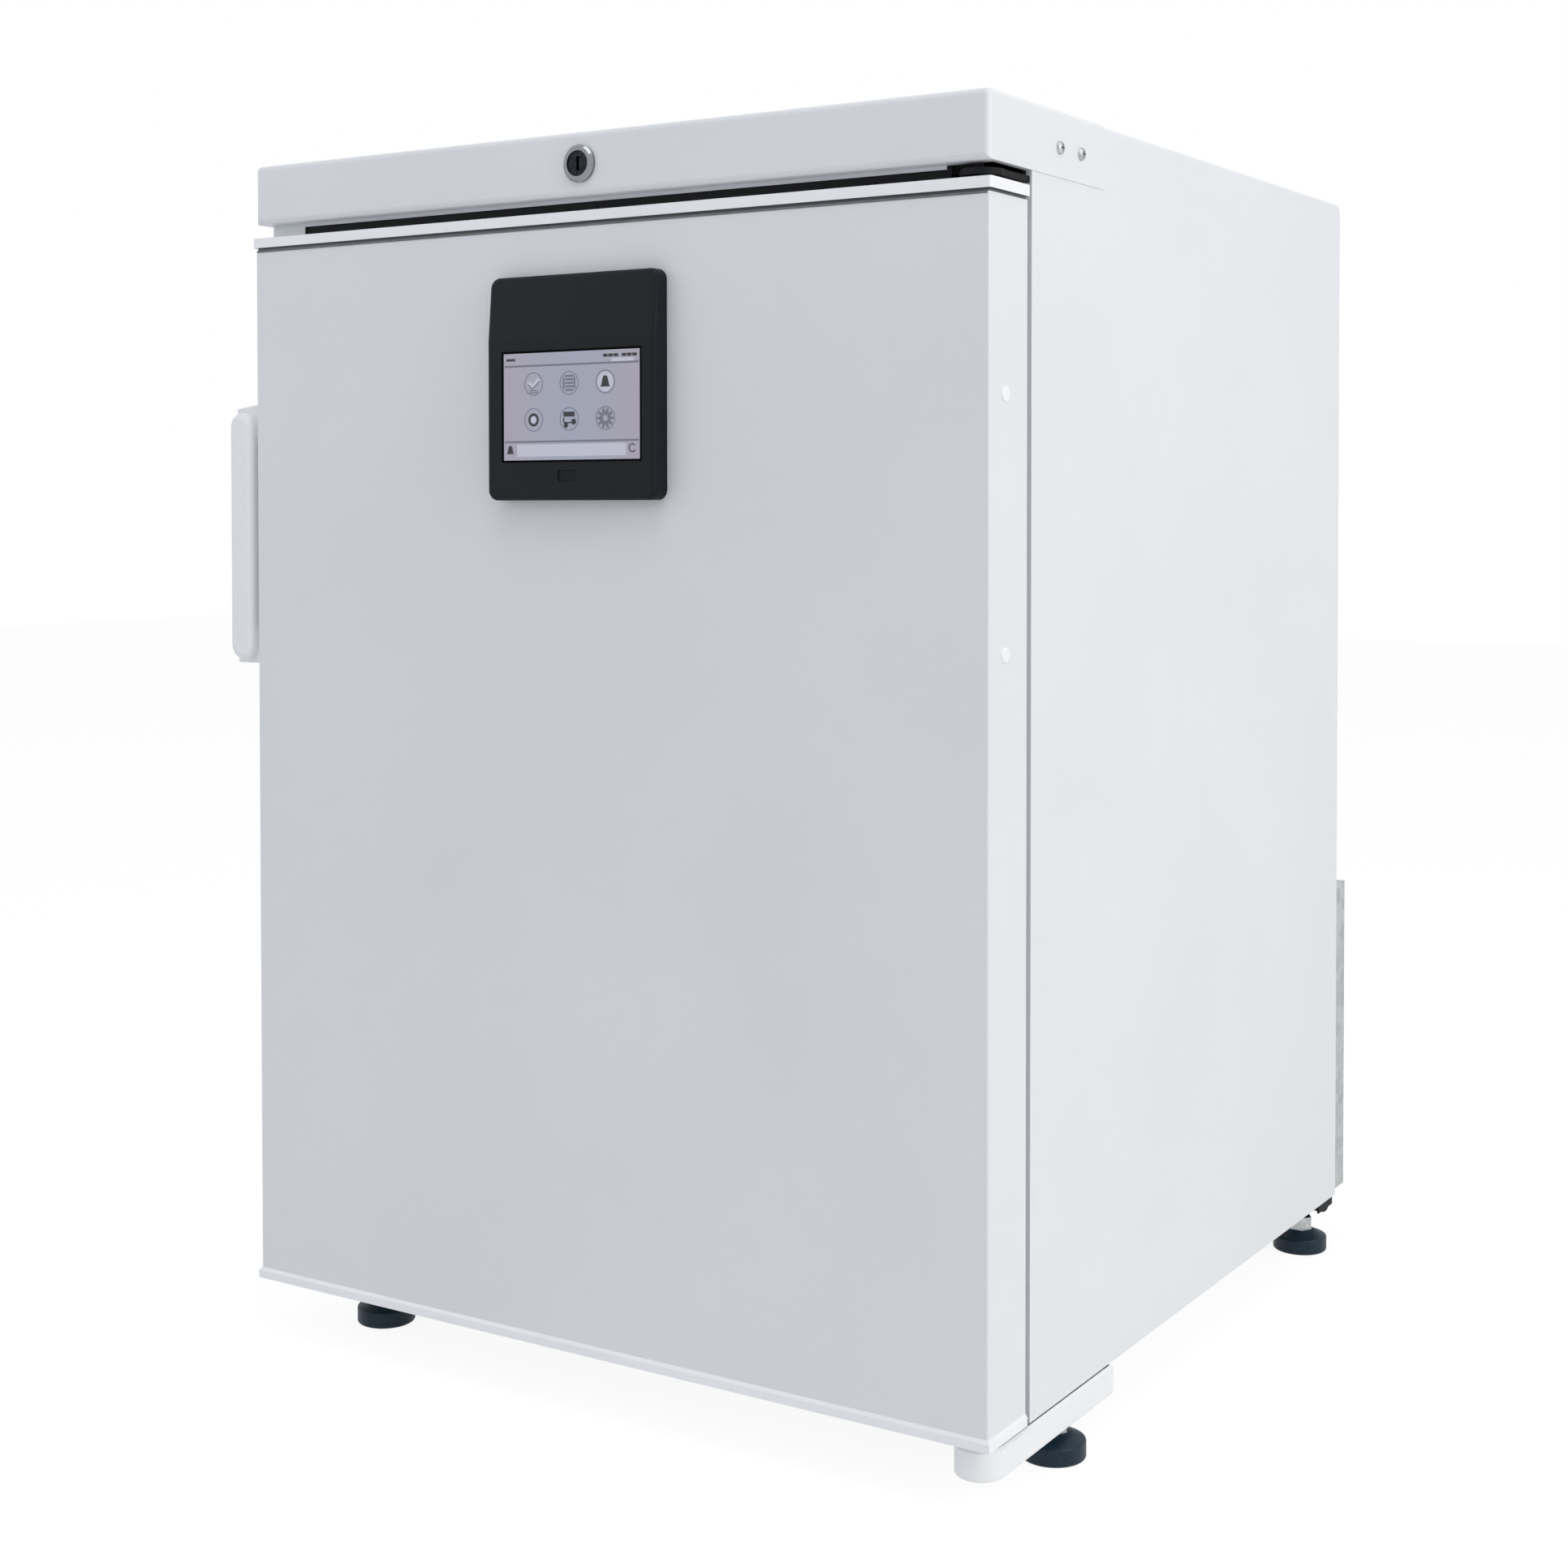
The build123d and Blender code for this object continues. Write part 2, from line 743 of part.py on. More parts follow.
def make_hinge_cover():
    """White tray under the lower hinge, with a round nose at the door's corner."""
    cover = plate_z(cover_outline(cover_radius), cover_low, cover_top)
    cover = chamfer(cover.faces().sort_by(Axis.Z)[-1].edges(), cover_chamfer)
    cover = fillet(cover.faces().sort_by(Axis.Z)[0].edges(), cover_wall)
    cover -= plate_z(cover_outline(cover_radius - cover_wall), cover_low + cover_wall, cover_top + past)
    cover -= rod_z(*foot_front_right, cover_low - past, cover_low + cover_wall + past, hexagon_flat * 0.7)
    return cover


def make_foot_inserts():
    inserts = []
    for x, y in feet.values():
        insert = rod_z(x, y, base_height, base_height + insert_height, insert_radius)
        inserts.append(insert - rod_z(x, y, base_height - past, base_height + insert_height + past,
                                      stem_radius + running_gap))
    return inserts


def make_foot_pad(x, y):
    """Pad turned from a profile: flat base, straight side and a cone up to the hexagon."""
    profile = outline([
        (0, 0), (pad_radius, 0), (pad_radius, pad_side), (pad_neck, pad_height), (0, pad_height)
    ])
    pad = revolve(Plane.XZ * profile, Axis.Z)
    rims = pad.edges().filter_by(GeomType.CIRCLE).sort_by(SortBy.RADIUS)[-2:]
    pad = fillet(rims, pad_edge_radius)
    pad -= Pos(0, 0, pad_height) * Cylinder(stem_radius + socket_gap, 2 * pad_socket)
    return Pos(x, y, 0) * pad


def make_foot_stem(x, y):
    stem = rod_z(x, y, pad_height - pad_socket, base_height + stem_reach, stem_radius)
    hexagon = Pos(x, y) * RegularPolygon(hexagon_flat / 2, 6, major_radius=False)
    return stem + plate_z(hexagon, pad_height, pad_height + hexagon_height)


def make_roller(side):
    inner = roller_outer - roller_width
    roller = rod_x(roller_y, roller_height, inner, roller_outer, roller_radius)
    roller = fillet(roller.edges().filter_by(GeomType.CIRCLE), 2.0)
    roller -= rod_x(roller_y, roller_height, inner - past, roller_outer + past, axle_radius + running_gap)
    return roller if side > 0 else mirror(roller, Plane.YZ)


def ear_faces():
    """Inner and outer x of the two ears that hold a roller."""
    outer = roller_outer + roller_side_gap
    inner = roller_outer - roller_width - roller_side_gap
    return inner - ear_thickness, inner, outer, outer + ear_thickness


def make_roller_brackets():
    far_left, left, right, far_right = ear_faces()
    ear_front = roller_y + ear_margin - ear_length
    plate = block(far_left, far_right, ear_front, ear_front + bracket_plate_depth,
                  base_height - ear_thickness, base_height)
    for x0, x1 in ((far_left, left), (right, far_right)):
        plate += block(x0, x1, ear_front, roller_y + ear_margin, base_height - ear_drop, base_height)
    plate += rod_x(roller_y, roller_height, far_left, far_right, axle_radius)
    return [plate, mirror(plate, Plane.YZ)]


def make_door_skin():
    """Steel sheet folded round the front and both sides of the door."""
    skin = block(-half_width, half_width, 0.0, door_thickness, skin_low, skin_top)
    front_edges = [e for e in skin.edges().filter_by(Axis.Z) if e.center().Y < past]
    skin = fillet(front_edges, skin_edge_radius)
    skin -= block(-door_inner, door_inner, sheet, door_thickness - sheet, skin_low - past, skin_top + past)
    skin -= block(-liner_half, liner_half, door_thickness - 2 * sheet, door_thickness + past,
                  skin_low - past, skin_top + past)
    for z in plug_z:
        skin -= rod_x(plug_setback, z, door_inner - past, half_width + past, plug_shank + hole_gap)
    for z in screw_z:
        skin -= rod_x(plug_setback, z, -half_width - past, -door_inner + past, handle_screw_radius + hole_gap)
    return skin


def make_door_foam():
    foam = block(-door_inner, door_inner, sheet, core_rear, core_low, core_top)
    for low, top in ((core_low - past, bush_boss_low() + past), (bush_boss_top() - past, core_top + past)):
        foam -= rod_z(hinge_x, hinge_y, low, top, bush_radius + bush_boss_wall)
    for z in plug_z:
        foam -= rod_x(plug_setback, z, half_width - plug_length - past, half_width, plug_shank + hole_gap)
    for z in screw_z:
        foam -= rod_x(plug_setback, z, -half_width, handle_screw_end() + past, handle_screw_radius + hole_gap)
    return foam - dart_ring(channel_wall(), channel_front(), door_thickness)


def channel_front():
    """Floor of the door liner's channel that takes the gasket's dart."""
    return door_thickness - dart_depth - hole_gap - door_liner_sheet


def channel_wall():
    return dart_width / 2 + hole_gap + door_liner_sheet


def handle_screw_end():
    return -half_width + handle_screw_length


def bush_boss_low():
    return door_low + pin_engage + bush_boss_wall


def bush_boss_top():
    return door_top - pin_engage - bush_boss_wall


def ring_y(half, low, top, spread, y0, y1):
    """Rectangular ring in x and z, spread to both sides of its centre line."""
    outer = rectangle(-half - spread, half + spread, low - spread, top + spread)
    inner = rectangle(-half + spread, half - spread, low + spread, top - spread)
    return plate_y(outer - inner, y0, y1)


def dart_ring(spread, y0, y1):
    return ring_y(gasket_half, gasket_low, gasket_top, spread, y0, y1)


def make_door_liner():
    """Formed panel at the back of the door with a raised dike inside the gasket."""
    panel = block(-liner_half, liner_half, core_rear, door_thickness, core_low, core_top)
    panel += dart_ring(channel_wall(), channel_front(), core_rear)
    panel -= dart_ring(dart_width / 2 + hole_gap, channel_front() + door_liner_sheet, door_thickness + past)
    dike_half = cavity_half - dike_inset - dike_width / 2
    dike_low = cavity_low + dike_inset + dike_width / 2
    dike_top = cavity_top - dike_inset - dike_width / 2
    dike = ring_y(dike_half, dike_low, dike_top, dike_width / 2, door_thickness, dike_rear)
    crest = dike.faces().sort_by(Axis.Y)[-1]
    panel += chamfer(crest.edges(), dike_chamfer)
    return panel


def make_door_gasket():
    """Magnetic gasket: dart, base, bellows and magnet chamber, one ring of each."""
    seal_rear = body_front - seal_gap
    seal_front = seal_rear - magnet_height
    base_rear = door_thickness + gasket_base_height
    gasket = dart_ring(gasket_base / 2, door_thickness, base_rear)
    gasket += dart_ring(bellows_width / 2, base_rear, seal_front)
    gasket += dart_ring(magnet_width / 2, seal_front, seal_rear)
    gasket += dart_ring(dart_width / 2, door_thickness - dart_depth, door_thickness)
    return gasket


def make_door_top_trim():
    """End profile of the door: proud band, shadow groove and a plug inside the skin."""
    band_low = door_top - top_trim_height
    reach = half_width + trim_proud
    trim = block(-reach, reach, -trim_proud, door_thickness, band_low, door_top)
    corners = [e for e in trim.edges().filter_by(Axis.Z) if e.center().Y < 0]
    trim = fillet(corners, skin_edge_radius)
    recess = 1.2
    trim += block(-half_width + recess, half_width - recess, recess, door_thickness, skin_top, band_low)
    trim += block(-door_inner, door_inner, sheet, door_thickness - sheet, core_top, skin_top)
    trim += block(-liner_half, liner_half, door_thickness - 2 * sheet, door_thickness, core_top, skin_top)
    trim += rod_z(hinge_x, hinge_y, bush_boss_top(), core_top, bush_radius + bush_boss_wall)
    trim -= rod_z(hinge_x, hinge_y, bush_boss_top() + bush_boss_wall, door_top + past, bush_radius)
    trim -= lock_slot(door_top - slot_depth, door_top)
    return trim


def make_door_bottom_trim():
    """End profile below the door, with a bevel from its proud band up to the skin."""
    bevel_low = skin_low - bottom_trim_bevel
    reach = half_width + trim_proud
    trim = block(-reach, reach, -trim_proud, door_thickness, door_low, bevel_low)
    upper = block(-reach, reach, -trim_proud, door_thickness, bevel_low, skin_low)
    crest = [e for e in upper.faces().sort_by(Axis.Z)[-1].edges() if e.center().Y < door_thickness - past]
    trim += chamfer(crest, bottom_trim_bevel - past / 10, trim_proud)
    trim += block(-door_inner, door_inner, sheet, door_thickness - sheet, skin_low, core_low)
    trim += block(-liner_half, liner_half, door_thickness - 2 * sheet, door_thickness, skin_low, core_low)
    trim += rod_z(hinge_x, hinge_y, core_low, bush_boss_low(), bush_radius + bush_boss_wall)
    trim -= rod_z(hinge_x, hinge_y, door_low - past, bush_boss_low() - bush_boss_wall, bush_radius)
    return trim


def make_hinge_bushes():
    lower = rod_z(hinge_x, hinge_y, door_low, door_low + pin_engage, bush_radius)
    lower += rod_z(hinge_x, hinge_y, door_low - bush_flange, door_low, bush_flange_radius)
    lower -= rod_z(hinge_x, hinge_y, door_low - bush_flange - past, door_low + pin_engage + past,
                   pin_radius + running_gap)
    upper = rod_z(hinge_x, hinge_y, door_top - pin_engage, door_top, bush_radius)
    upper -= rod_z(hinge_x, hinge_y, door_top - pin_engage - past, door_top + past, pin_radius + running_gap)
    return [lower, upper]


def make_handle_body():
    """Moulded grip: two end arms, a bar in front and a finger space behind it."""
    side = outline([
        (-half_width, handle_low), (handle_x, handle_low),
        (handle_x, handle_top - handle_slant), (-half_width, handle_top),
    ])
    body = plate_y(side, handle_body_front, handle_rear)
    outer_edges = [e for e in body.edges() if e.center().X < handle_x + past]
    body = fillet(outer_edges, handle_edge_radius)
    arm_low = handle_low + handle_arm
    arm_top = handle_top - handle_arm
    plate_left = -half_width - handle_plate
    body -= block(handle_x - past, plate_left, handle_bar_rear, handle_rear + past, arm_low, arm_top)
    strip_left = -half_width - handle_reach + handle_cover_width
    body -= block(strip_left, -half_width + past, handle_body_front - past,
                  handle_body_front + handle_strip_depth, arm_low, arm_top)
    for z in screw_z:
        body -= rod_x(plug_setback, z, handle_x - past, -half_width + past, handle_screw_radius + hole_gap)
        body -= rod_x(plug_setback, z, handle_x - past, plate_left, handle_screw_head + hole_gap)
    return body


def make_handle_cover():
    right = handle_x + handle_cover_width
    shape = rectangle(handle_x, right, handle_low + handle_cover_margin,
                      handle_top - handle_slant - handle_cover_margin, handle_cover_radius)
    cover = plate_y(shape, handle_front, handle_body_front)
    return fillet(cover.faces().sort_by(Axis.Y)[0].edges(), handle_cover_fillet)


def make_handle_screws():
    screws = []
    for z in screw_z:
        head_right = -half_width - handle_plate
        head = rod_x(plug_setback, z, head_right - handle_screw_head_height, head_right, handle_screw_head)
        screws.append(head + rod_x(plug_setback, z, head_right, handle_screw_end(), handle_screw_radius))
    return screws


def make_hole_plugs():
    plugs = []
    for z in plug_z:
        plug = rod_x(plug_setback, z, half_width, half_width + plug_dome, plug_head)
        plug = fillet(plug.edges().filter_by(GeomType.CIRCLE).sort_by(Axis.X)[-1], plug_dome * 0.85)
        plugs.append(plug + rod_x(plug_setback, z, half_width - plug_length, half_width, plug_shank))
    return plugs


def make_display_housing():
    """Moulded case whose front leans back above the screen."""
    right = display_x + display_width
    side = outline([
        (0, display_low), (-display_depth, display_low),
        (-display_depth, display_top - display_slant_height),
        (-display_depth + display_slant, display_top), (0, display_top),
    ])
    body = plate_x(side, display_x, right)
    face = rectangle(display_x, right, display_low, display_top, display_corner)
    body = body & plate_y(face, -display_depth - past, 0.0)
    rim = [e for e in body.edges() if e.center().Y < -past and not _across_front(e)]
    rim = [e for e in rim if abs(e.tangent_at(0.5).Y) < 0.5]
    body = fillet(rim, display_edge)
    body -= plate_y(rectangle(screen_x, screen_x + screen_width, screen_z, screen_z + screen_height),
                    -display_depth - past, -display_depth + screen_recess)
    port_left = display_x + port_x
    port_z = display_low + port_low
    body -= plate_y(rectangle(port_left, port_left + port_width, port_z, port_z + port_height, past),
                    -display_depth - past, -display_depth + port_recess)
    return body


def _across_front(edge):
    """The bend between the upright and the leaning part of the front."""
    level = abs(edge.center().Z - (display_top - display_slant_height)) < past
    return level and abs(edge.tangent_at(0.5).X) > 0.9


def make_display_screen():
    front = -display_depth + screen_recess - screen_thickness
    shape = rectangle(screen_x + screen_gap, screen_x + screen_width - screen_gap,
                      screen_z + screen_gap, screen_z + screen_height - screen_gap)
    return plate_y(shape, front, -display_depth + screen_recess)


def make_port_cover():
    left = display_x + port_x + screen_gap
    low = display_low + port_low + screen_gap
    shape = rectangle(left, left + port_width - 2 * screen_gap, low, low + port_height - 2 * screen_gap,
                      past - screen_gap)
    front = -display_depth + port_recess
    return plate_y(shape, front - port_recess + port_lip, front)


def louvre_places():
    """Centre x and lower edge z of each louvre of the rear cover."""
    first_x = -louvre_pitch_x * (louvre_columns - 1) / 2
    first_z = rear_cover_low + louvre_first
    return [
        (first_x + louvre_pitch_x * column, first_z + louvre_pitch_z * row)
        for column in range(louvre_columns)
        for row in range(louvre_rows)
    ]


def make_rear_cover():
    """Shallow pan with rows of louvres, each a slot under its own slanting hood."""
    cover = block(-shell_half, shell_half, body_rear, rear_cover_rear, rear_cover_low, rear_cover_top)
    cover -= block(-inner_half, inner_half, body_rear - past, rear_cover_rear - sheet,
                   rear_cover_low + sheet, rear_cover_top - sheet)
    for x, z in louvre_places():
        cover -= block(x - louvre_width / 2, x + louvre_width / 2, rear_cover_rear - 2 * sheet,
                       rear_cover_rear + past, z, z + louvre_slot)
        top = z + louvre_slot
        hood = outline([
            (rear_cover_rear - sheet, top), (rear_cover_rear, top),
            (rear_cover_rear, top + louvre_sheet), (rear_cover_rear - sheet, top + louvre_sheet),
            (rear_cover_rear - sheet - louvre_hood, z + louvre_sheet),
            (rear_cover_rear - sheet - louvre_hood, z),
        ])
        cover += plate_x(hood, x - louvre_width / 2, x + louvre_width / 2)
    socket = inlet_body_outline(hole_gap)
    cover -= plate_y(socket, rear_cover_rear - 2 * sheet, rear_cover_rear + past)
    for x, z in cover_screw_places():
        cover -= rod_y(x, z, rear_cover_rear - 2 * sheet, rear_cover_rear + past,
                       cover_screw_radius + hole_gap)
    return cover


def cover_screw_places():
    x = shell_half - cover_screw_inset
    z_low = rear_cover_low + cover_screw_inset
    z_top = rear_cover_top - cover_screw_inset
    return [(-x, z_low), (x, z_low), (-x, z_top), (x, z_top)]


def make_cover_screws():
    screws = []
    for x, z in cover_screw_places():
        head = rod_y(x, z, rear_cover_rear, rear_cover_rear + cover_screw_head_height, cover_screw_head)
        crown = head.edges().filter_by(GeomType.CIRCLE).sort_by(Axis.Y)[-1]
        head = fillet(crown, cover_screw_head_height * 0.8)
        screws.append(head + rod_y(x, z, rear_cover_rear - 6 * sheet, rear_cover_rear, cover_screw_radius))
    return screws


def make_rear_spacers():
    left = block(-inner_half, -inner_half + spacer_width, body_rear, body_rear + spacer_depth,
                 spacer_low, spacer_low + spacer_height)
    return [left, mirror(left, Plane.YZ)]


def inlet_body_outline(grow):
    half_w = inlet_socket_width / 2 + inlet_body_margin + grow
    half_h = inlet_socket_height / 2 + inlet_body_margin + grow
    return rectangle(inlet_x - half_w, inlet_x + half_w, inlet_z - half_h, inlet_z + half_h)


def make_mains_inlet():
    """Appliance inlet: flange on the rear cover, body inside it, socket with three blades."""
    flange = rectangle(inlet_x - inlet_width / 2, inlet_x + inlet_width / 2,
                       inlet_z - inlet_height / 2, inlet_z + inlet_height / 2, inlet_flange)
    face = rear_cover_rear + inlet_flange
    floor = face - inlet_socket_depth
    inlet = plate_y(flange, rear_cover_rear, face)
    inlet += plate_y(inlet_body_outline(0.0), floor - inlet_flange, rear_cover_rear)
    socket = rectangle(inlet_x - inlet_socket_width / 2, inlet_x + inlet_socket_width / 2,
                       inlet_z - inlet_socket_height / 2, inlet_z + inlet_socket_height / 2)
    inlet -= plate_y(socket, floor, face + past)
    rise = inlet_socket_height / 6
    for x, z in ((-inlet_pin_spread, -rise), (inlet_pin_spread, -rise), (0.0, rise)):
        blade = rectangle(inlet_x + x - inlet_pin_thickness / 2, inlet_x + x + inlet_pin_thickness / 2,
                          inlet_z + z - inlet_pin_width / 2, inlet_z + z + inlet_pin_width / 2)
        inlet += plate_y(blade, floor, floor + inlet_pin_length)
    return inlet


def make_compressor():
    """Hermetic compressor: welded pot with domed ends on a stamped foot plate."""
    low = compressor_low + compressor_foot_sheet
    pot = rod_z(compressor_x, compressor_y, low, low + compressor_height, compressor_radius)
    pot = fillet(pot.edges().filter_by(GeomType.CIRCLE), compressor_dome)
    seam_z = low + compressor_height * 0.55
    pot += rod_z(compressor_x, compressor_y, seam_z, seam_z + 4 * sheet, compressor_radius + 2 * sheet)
    plate = rectangle(compressor_x - compressor_foot_span / 2, compressor_x + compressor_foot_span / 2,
                      compressor_y - compressor_foot_width / 2, compressor_y + compressor_foot_width / 2,
                      grommet_radius)
    pot += plate_z(plate, compressor_low, low)
    for x, y in grommet_places():
        pot -= rod_z(x, y, compressor_low - past, low + past, grommet_radius / 2)
    width, depth, height = terminal_box
    pot += block(compressor_x + compressor_radius - depth / 2, compressor_x + compressor_radius + depth / 2,
                 compressor_y - width / 2, compressor_y + width / 2, low + height / 2, low + height * 1.5)
    return pot


def grommet_places():
    x = compressor_foot_span / 2 - grommet_radius
    y = compressor_foot_width / 2 - grommet_radius
    return [(compressor_x + i * x, compressor_y + j * y) for i in (-1, 1) for j in (-1, 1)]


def make_compressor_mounts():
    mounts = []
    for x, y in grommet_places():
        mount = rod_z(x, y, base_top, compressor_low, grommet_radius)
        mount += rod_z(x, y, compressor_low, compressor_low + 3 * compressor_foot_sheet,
                       grommet_radius / 2 - hole_gap)
        mounts.append(mount)
    return mounts


def make_drip_tray():
    """Shallow tray on the compressor where defrost water evaporates."""
    half = drip_tray_size / 2
    low = compressor_top
    shape = rectangle(compressor_x - half, compressor_x + half, compressor_y - half, compressor_y + half,
                      liner_radius)
    inner = half - drip_tray_wall
    hollow = rectangle(compressor_x - inner, compressor_x + inner, compressor_y - inner, compressor_y + inner,
                       liner_radius - drip_tray_wall)
    tray = plate_z(shape, low, low + drip_tray_height)
    return tray - plate_z(hollow, low + drip_tray_wall, low + drip_tray_height + past)


def finned_block(x0, x1, y0, y1, z0, z1, fins):
    """Block of upright fins with level tubes whose ends stand out at both sides."""
    pitch = (x1 - x0 - sheet) / (fins - 1)
    body = block(x0, x1, (y0 + y1) / 2 - tube_radius, (y0 + y1) / 2 + tube_radius, z0, z1)
    for i in range(fins):
        body += block(x0 + i * pitch, x0 + i * pitch + sheet, y0, y1, z0, z1)
    row_pitch = (z1 - z0) / tube_rows
    for row in range(tube_rows):
        z = z0 + row_pitch * (row + 0.5)
        body += rod_x((y0 + y1) / 2, z, x0 - 3 * tube_radius, x1 + 3 * tube_radius, tube_radius)
    return body


def make_condenser():
    return finned_block(condenser_x - condenser_width / 2, condenser_x + condenser_width / 2,
                        condenser_rear - condenser_depth, condenser_rear,
                        base_top, base_top + condenser_height, condenser_fins)


def make_evaporator():
    rear = cavity_rear - evaporator_rear_gap
    body = finned_block(-evaporator_width / 2, evaporator_width / 2, rear - evaporator_depth, rear,
                        evaporator_low, evaporator_top, evaporator_fins)
    for side in (-1, 1):
        x = side * evaporator_width / 4
        body += block(x - sheet * 5, x + sheet * 5, rear - sheet, cavity_rear, evaporator_low, evaporator_top)
    return body


def make_refrigerant_pipes():
    """Discharge pipe to the condenser and suction pipe up into the insulation."""
    start_z = compressor_low + compressor_height / 3
    side_y = compressor_radius * 0.6
    end_x = condenser_x - condenser_width / 2 - 3 * tube_radius
    turn_x = end_x - 3 * tube_radius
    condenser_y = condenser_rear - condenser_depth / 2
    top_z = base_top + condenser_height * (tube_rows - 0.5) / tube_rows
    discharge = [
        (compressor_x + compressor_radius / 2, compressor_y + side_y, start_z),
        (turn_x, compressor_y + side_y, start_z),
        (turn_x, condenser_y, top_z),
        (end_x, condenser_y, top_z),
    ]
    riser_x = compressor_x - compressor_radius - 5 * pipe_radius
    suction = [
        (compressor_x - compressor_radius / 2, compressor_y - side_y, start_z),
        (riser_x, compressor_y - side_y, start_z),
        (riser_x, compressor_y - side_y, machine_top),
    ]
    pot = make_compressor()
    pipes = []
    for route, heading in ((discharge, 1), (suction, -1)):
        path = FilletPolyline(*route, radius=pipe_bend)
        start = Plane(origin=route[0], z_dir=(heading, 0, 0))
        pipes.append(sweep(start * Circle(pipe_radius), path=path) - pot)
    return pipes


def make_evaporator_cover():
    """Duct cover: intake slots below, ringed fan grille above, open against the liner."""
    half = duct_width / 2
    cover = _round_front(block(-half, half, duct_front, cavity_rear, duct_low, duct_top), duct_radius)
    hollow = block(-half + duct_wall, half - duct_wall, duct_front + duct_wall, cavity_rear + past,
                   duct_low - past, duct_top - duct_wall)
    cover -= _round_front(hollow, duct_radius - duct_wall)
    cover -= rod_y(0.0, fan_z, duct_front - past, duct_front + duct_wall + past, fan_opening)
    intake_pitch = (duct_width - 2 * intake_margin) / intake_slots
    for i in range(intake_slots):
        x = (i - (intake_slots - 1) / 2) * intake_pitch
        slot = rectangle(x - intake_slot_width / 2, x + intake_slot_width / 2,
                         evaporator_low, evaporator_low + intake_slot_height)
        cover -= plate_y(slot, duct_front - past, duct_front + duct_wall + past)
    step = fan_opening / (grille_rings + 1)
    bar_length = 2 * fan_opening + grille_bar
    grille = Rectangle(bar_length, grille_bar) + Rectangle(grille_bar, bar_length)
    for ring in range(1, grille_rings + 1):
        grille += Circle(step * ring + grille_bar / 2) - Circle(step * ring - grille_bar / 2)
    cover += plate_y(Pos(0, fan_z) * grille, duct_front, duct_front + duct_wall)
    return cover


def _round_front(box, radius):
    """Round the edges of a box's front face, except the lowest one."""
    return fillet(box.faces().sort_by(Axis.Y)[0].edges().sort_by(Axis.Z)[1:], radius)


def make_fan_motor():
    """Motor on the liner's rear wall with its shaft towards the grille."""
    front = cavity_rear - motor_length
    motor = rod_y(0.0, fan_z, front, cavity_rear, motor_radius)
    motor = fillet(motor.edges().filter_by(GeomType.CIRCLE).sort_by(Axis.Y)[0], 3.0)
    return motor + rod_y(0.0, fan_z, fan_front + 3 * past, front + past, shaft_radius)


def make_fan_rotor():
    """Hub with twisted blades, each lofted from its root to its wider tip."""
    rear = fan_front + fan_length
    rotor = rod_y(0.0, 0.0, fan_front, rear, fan_hub)
    rotor = fillet(rotor.edges().filter_by(GeomType.CIRCLE).sort_by(Axis.Y)[0], 2.5)
    middle = (fan_front + rear) / 2
    root_z = fan_hub * 0.8
    for i in range(fan_blades):
        root = Plane(origin=(0, middle, root_z), x_dir=(1, 0, 0), z_dir=(0, 0, 1))
        tip = Plane(origin=(0, middle, fan_tip), x_dir=(1, 0, 0), z_dir=(0, 0, 1))
        root_face = root * Rot(0, 0, 90 - blade_root_angle) * Rectangle(fan_length * 1.1, blade_thickness)
        tip_face = tip * Rot(0, 0, 90 - blade_tip_angle) * Rectangle(fan_length * 1.8, blade_thickness)
        blade = loft([root_face, tip_face], ruled=True)
        rotor += Rot(0, i * 360 / fan_blades, 0) * blade
    rotor -= rod_y(0.0, 0.0, fan_front + 2 * past, rear + past, shaft_radius + running_gap)
    return Pos(0, 0, fan_z) * rotor


def make_shelf(z):
    """Perforated steel shelf with its front and rear edges turned down."""
    half = cavity_half - shelf_side_gap
    deck = rectangle(-half, half, shelf_front, shelf_rear)
    row_pitch = (shelf_rear - shelf_front) / shelf_slot_rows
    slot_length = row_pitch - shelf_slot_bridge
    slot_pitch = 2 * (half - shelf_slot_margin) / shelf_slots
    for row in range(shelf_slot_rows):
        y = shelf_front + row_pitch * (row + 0.5)
        for i in range(shelf_slots):
            x = (i - (shelf_slots - 1) / 2) * slot_pitch
            deck -= rectangle(x - shelf_slot_width / 2, x + shelf_slot_width / 2,
                              y - slot_length / 2, y + slot_length / 2)
    shelf = plate_z(deck, z, z + shelf_sheet)
    lip_half = half - rail_shelf_width
    for y in (shelf_front, shelf_rear - shelf_sheet):
        shelf += block(-lip_half, lip_half, y, y + shelf_sheet, z - shelf_lip, z)
    return shelf


def make_shelf_rails():
    """Angles on both side walls that carry the shelves."""
    rails = []
    front = shelf_front - shelf_lip
    rear = cavity_rear - rail_shelf_rear_gap
    for z in shelf_z:
        seat = z - shelf_seat_gap
        leg = block(cavity_half - rail_sheet, cavity_half, front, rear, seat - rail_shelf_height, seat)
        leg += block(cavity_half - rail_shelf_width, cavity_half, front, rear, seat - rail_sheet, seat)
        rails += [leg, mirror(leg, Plane.YZ)]
    return rails


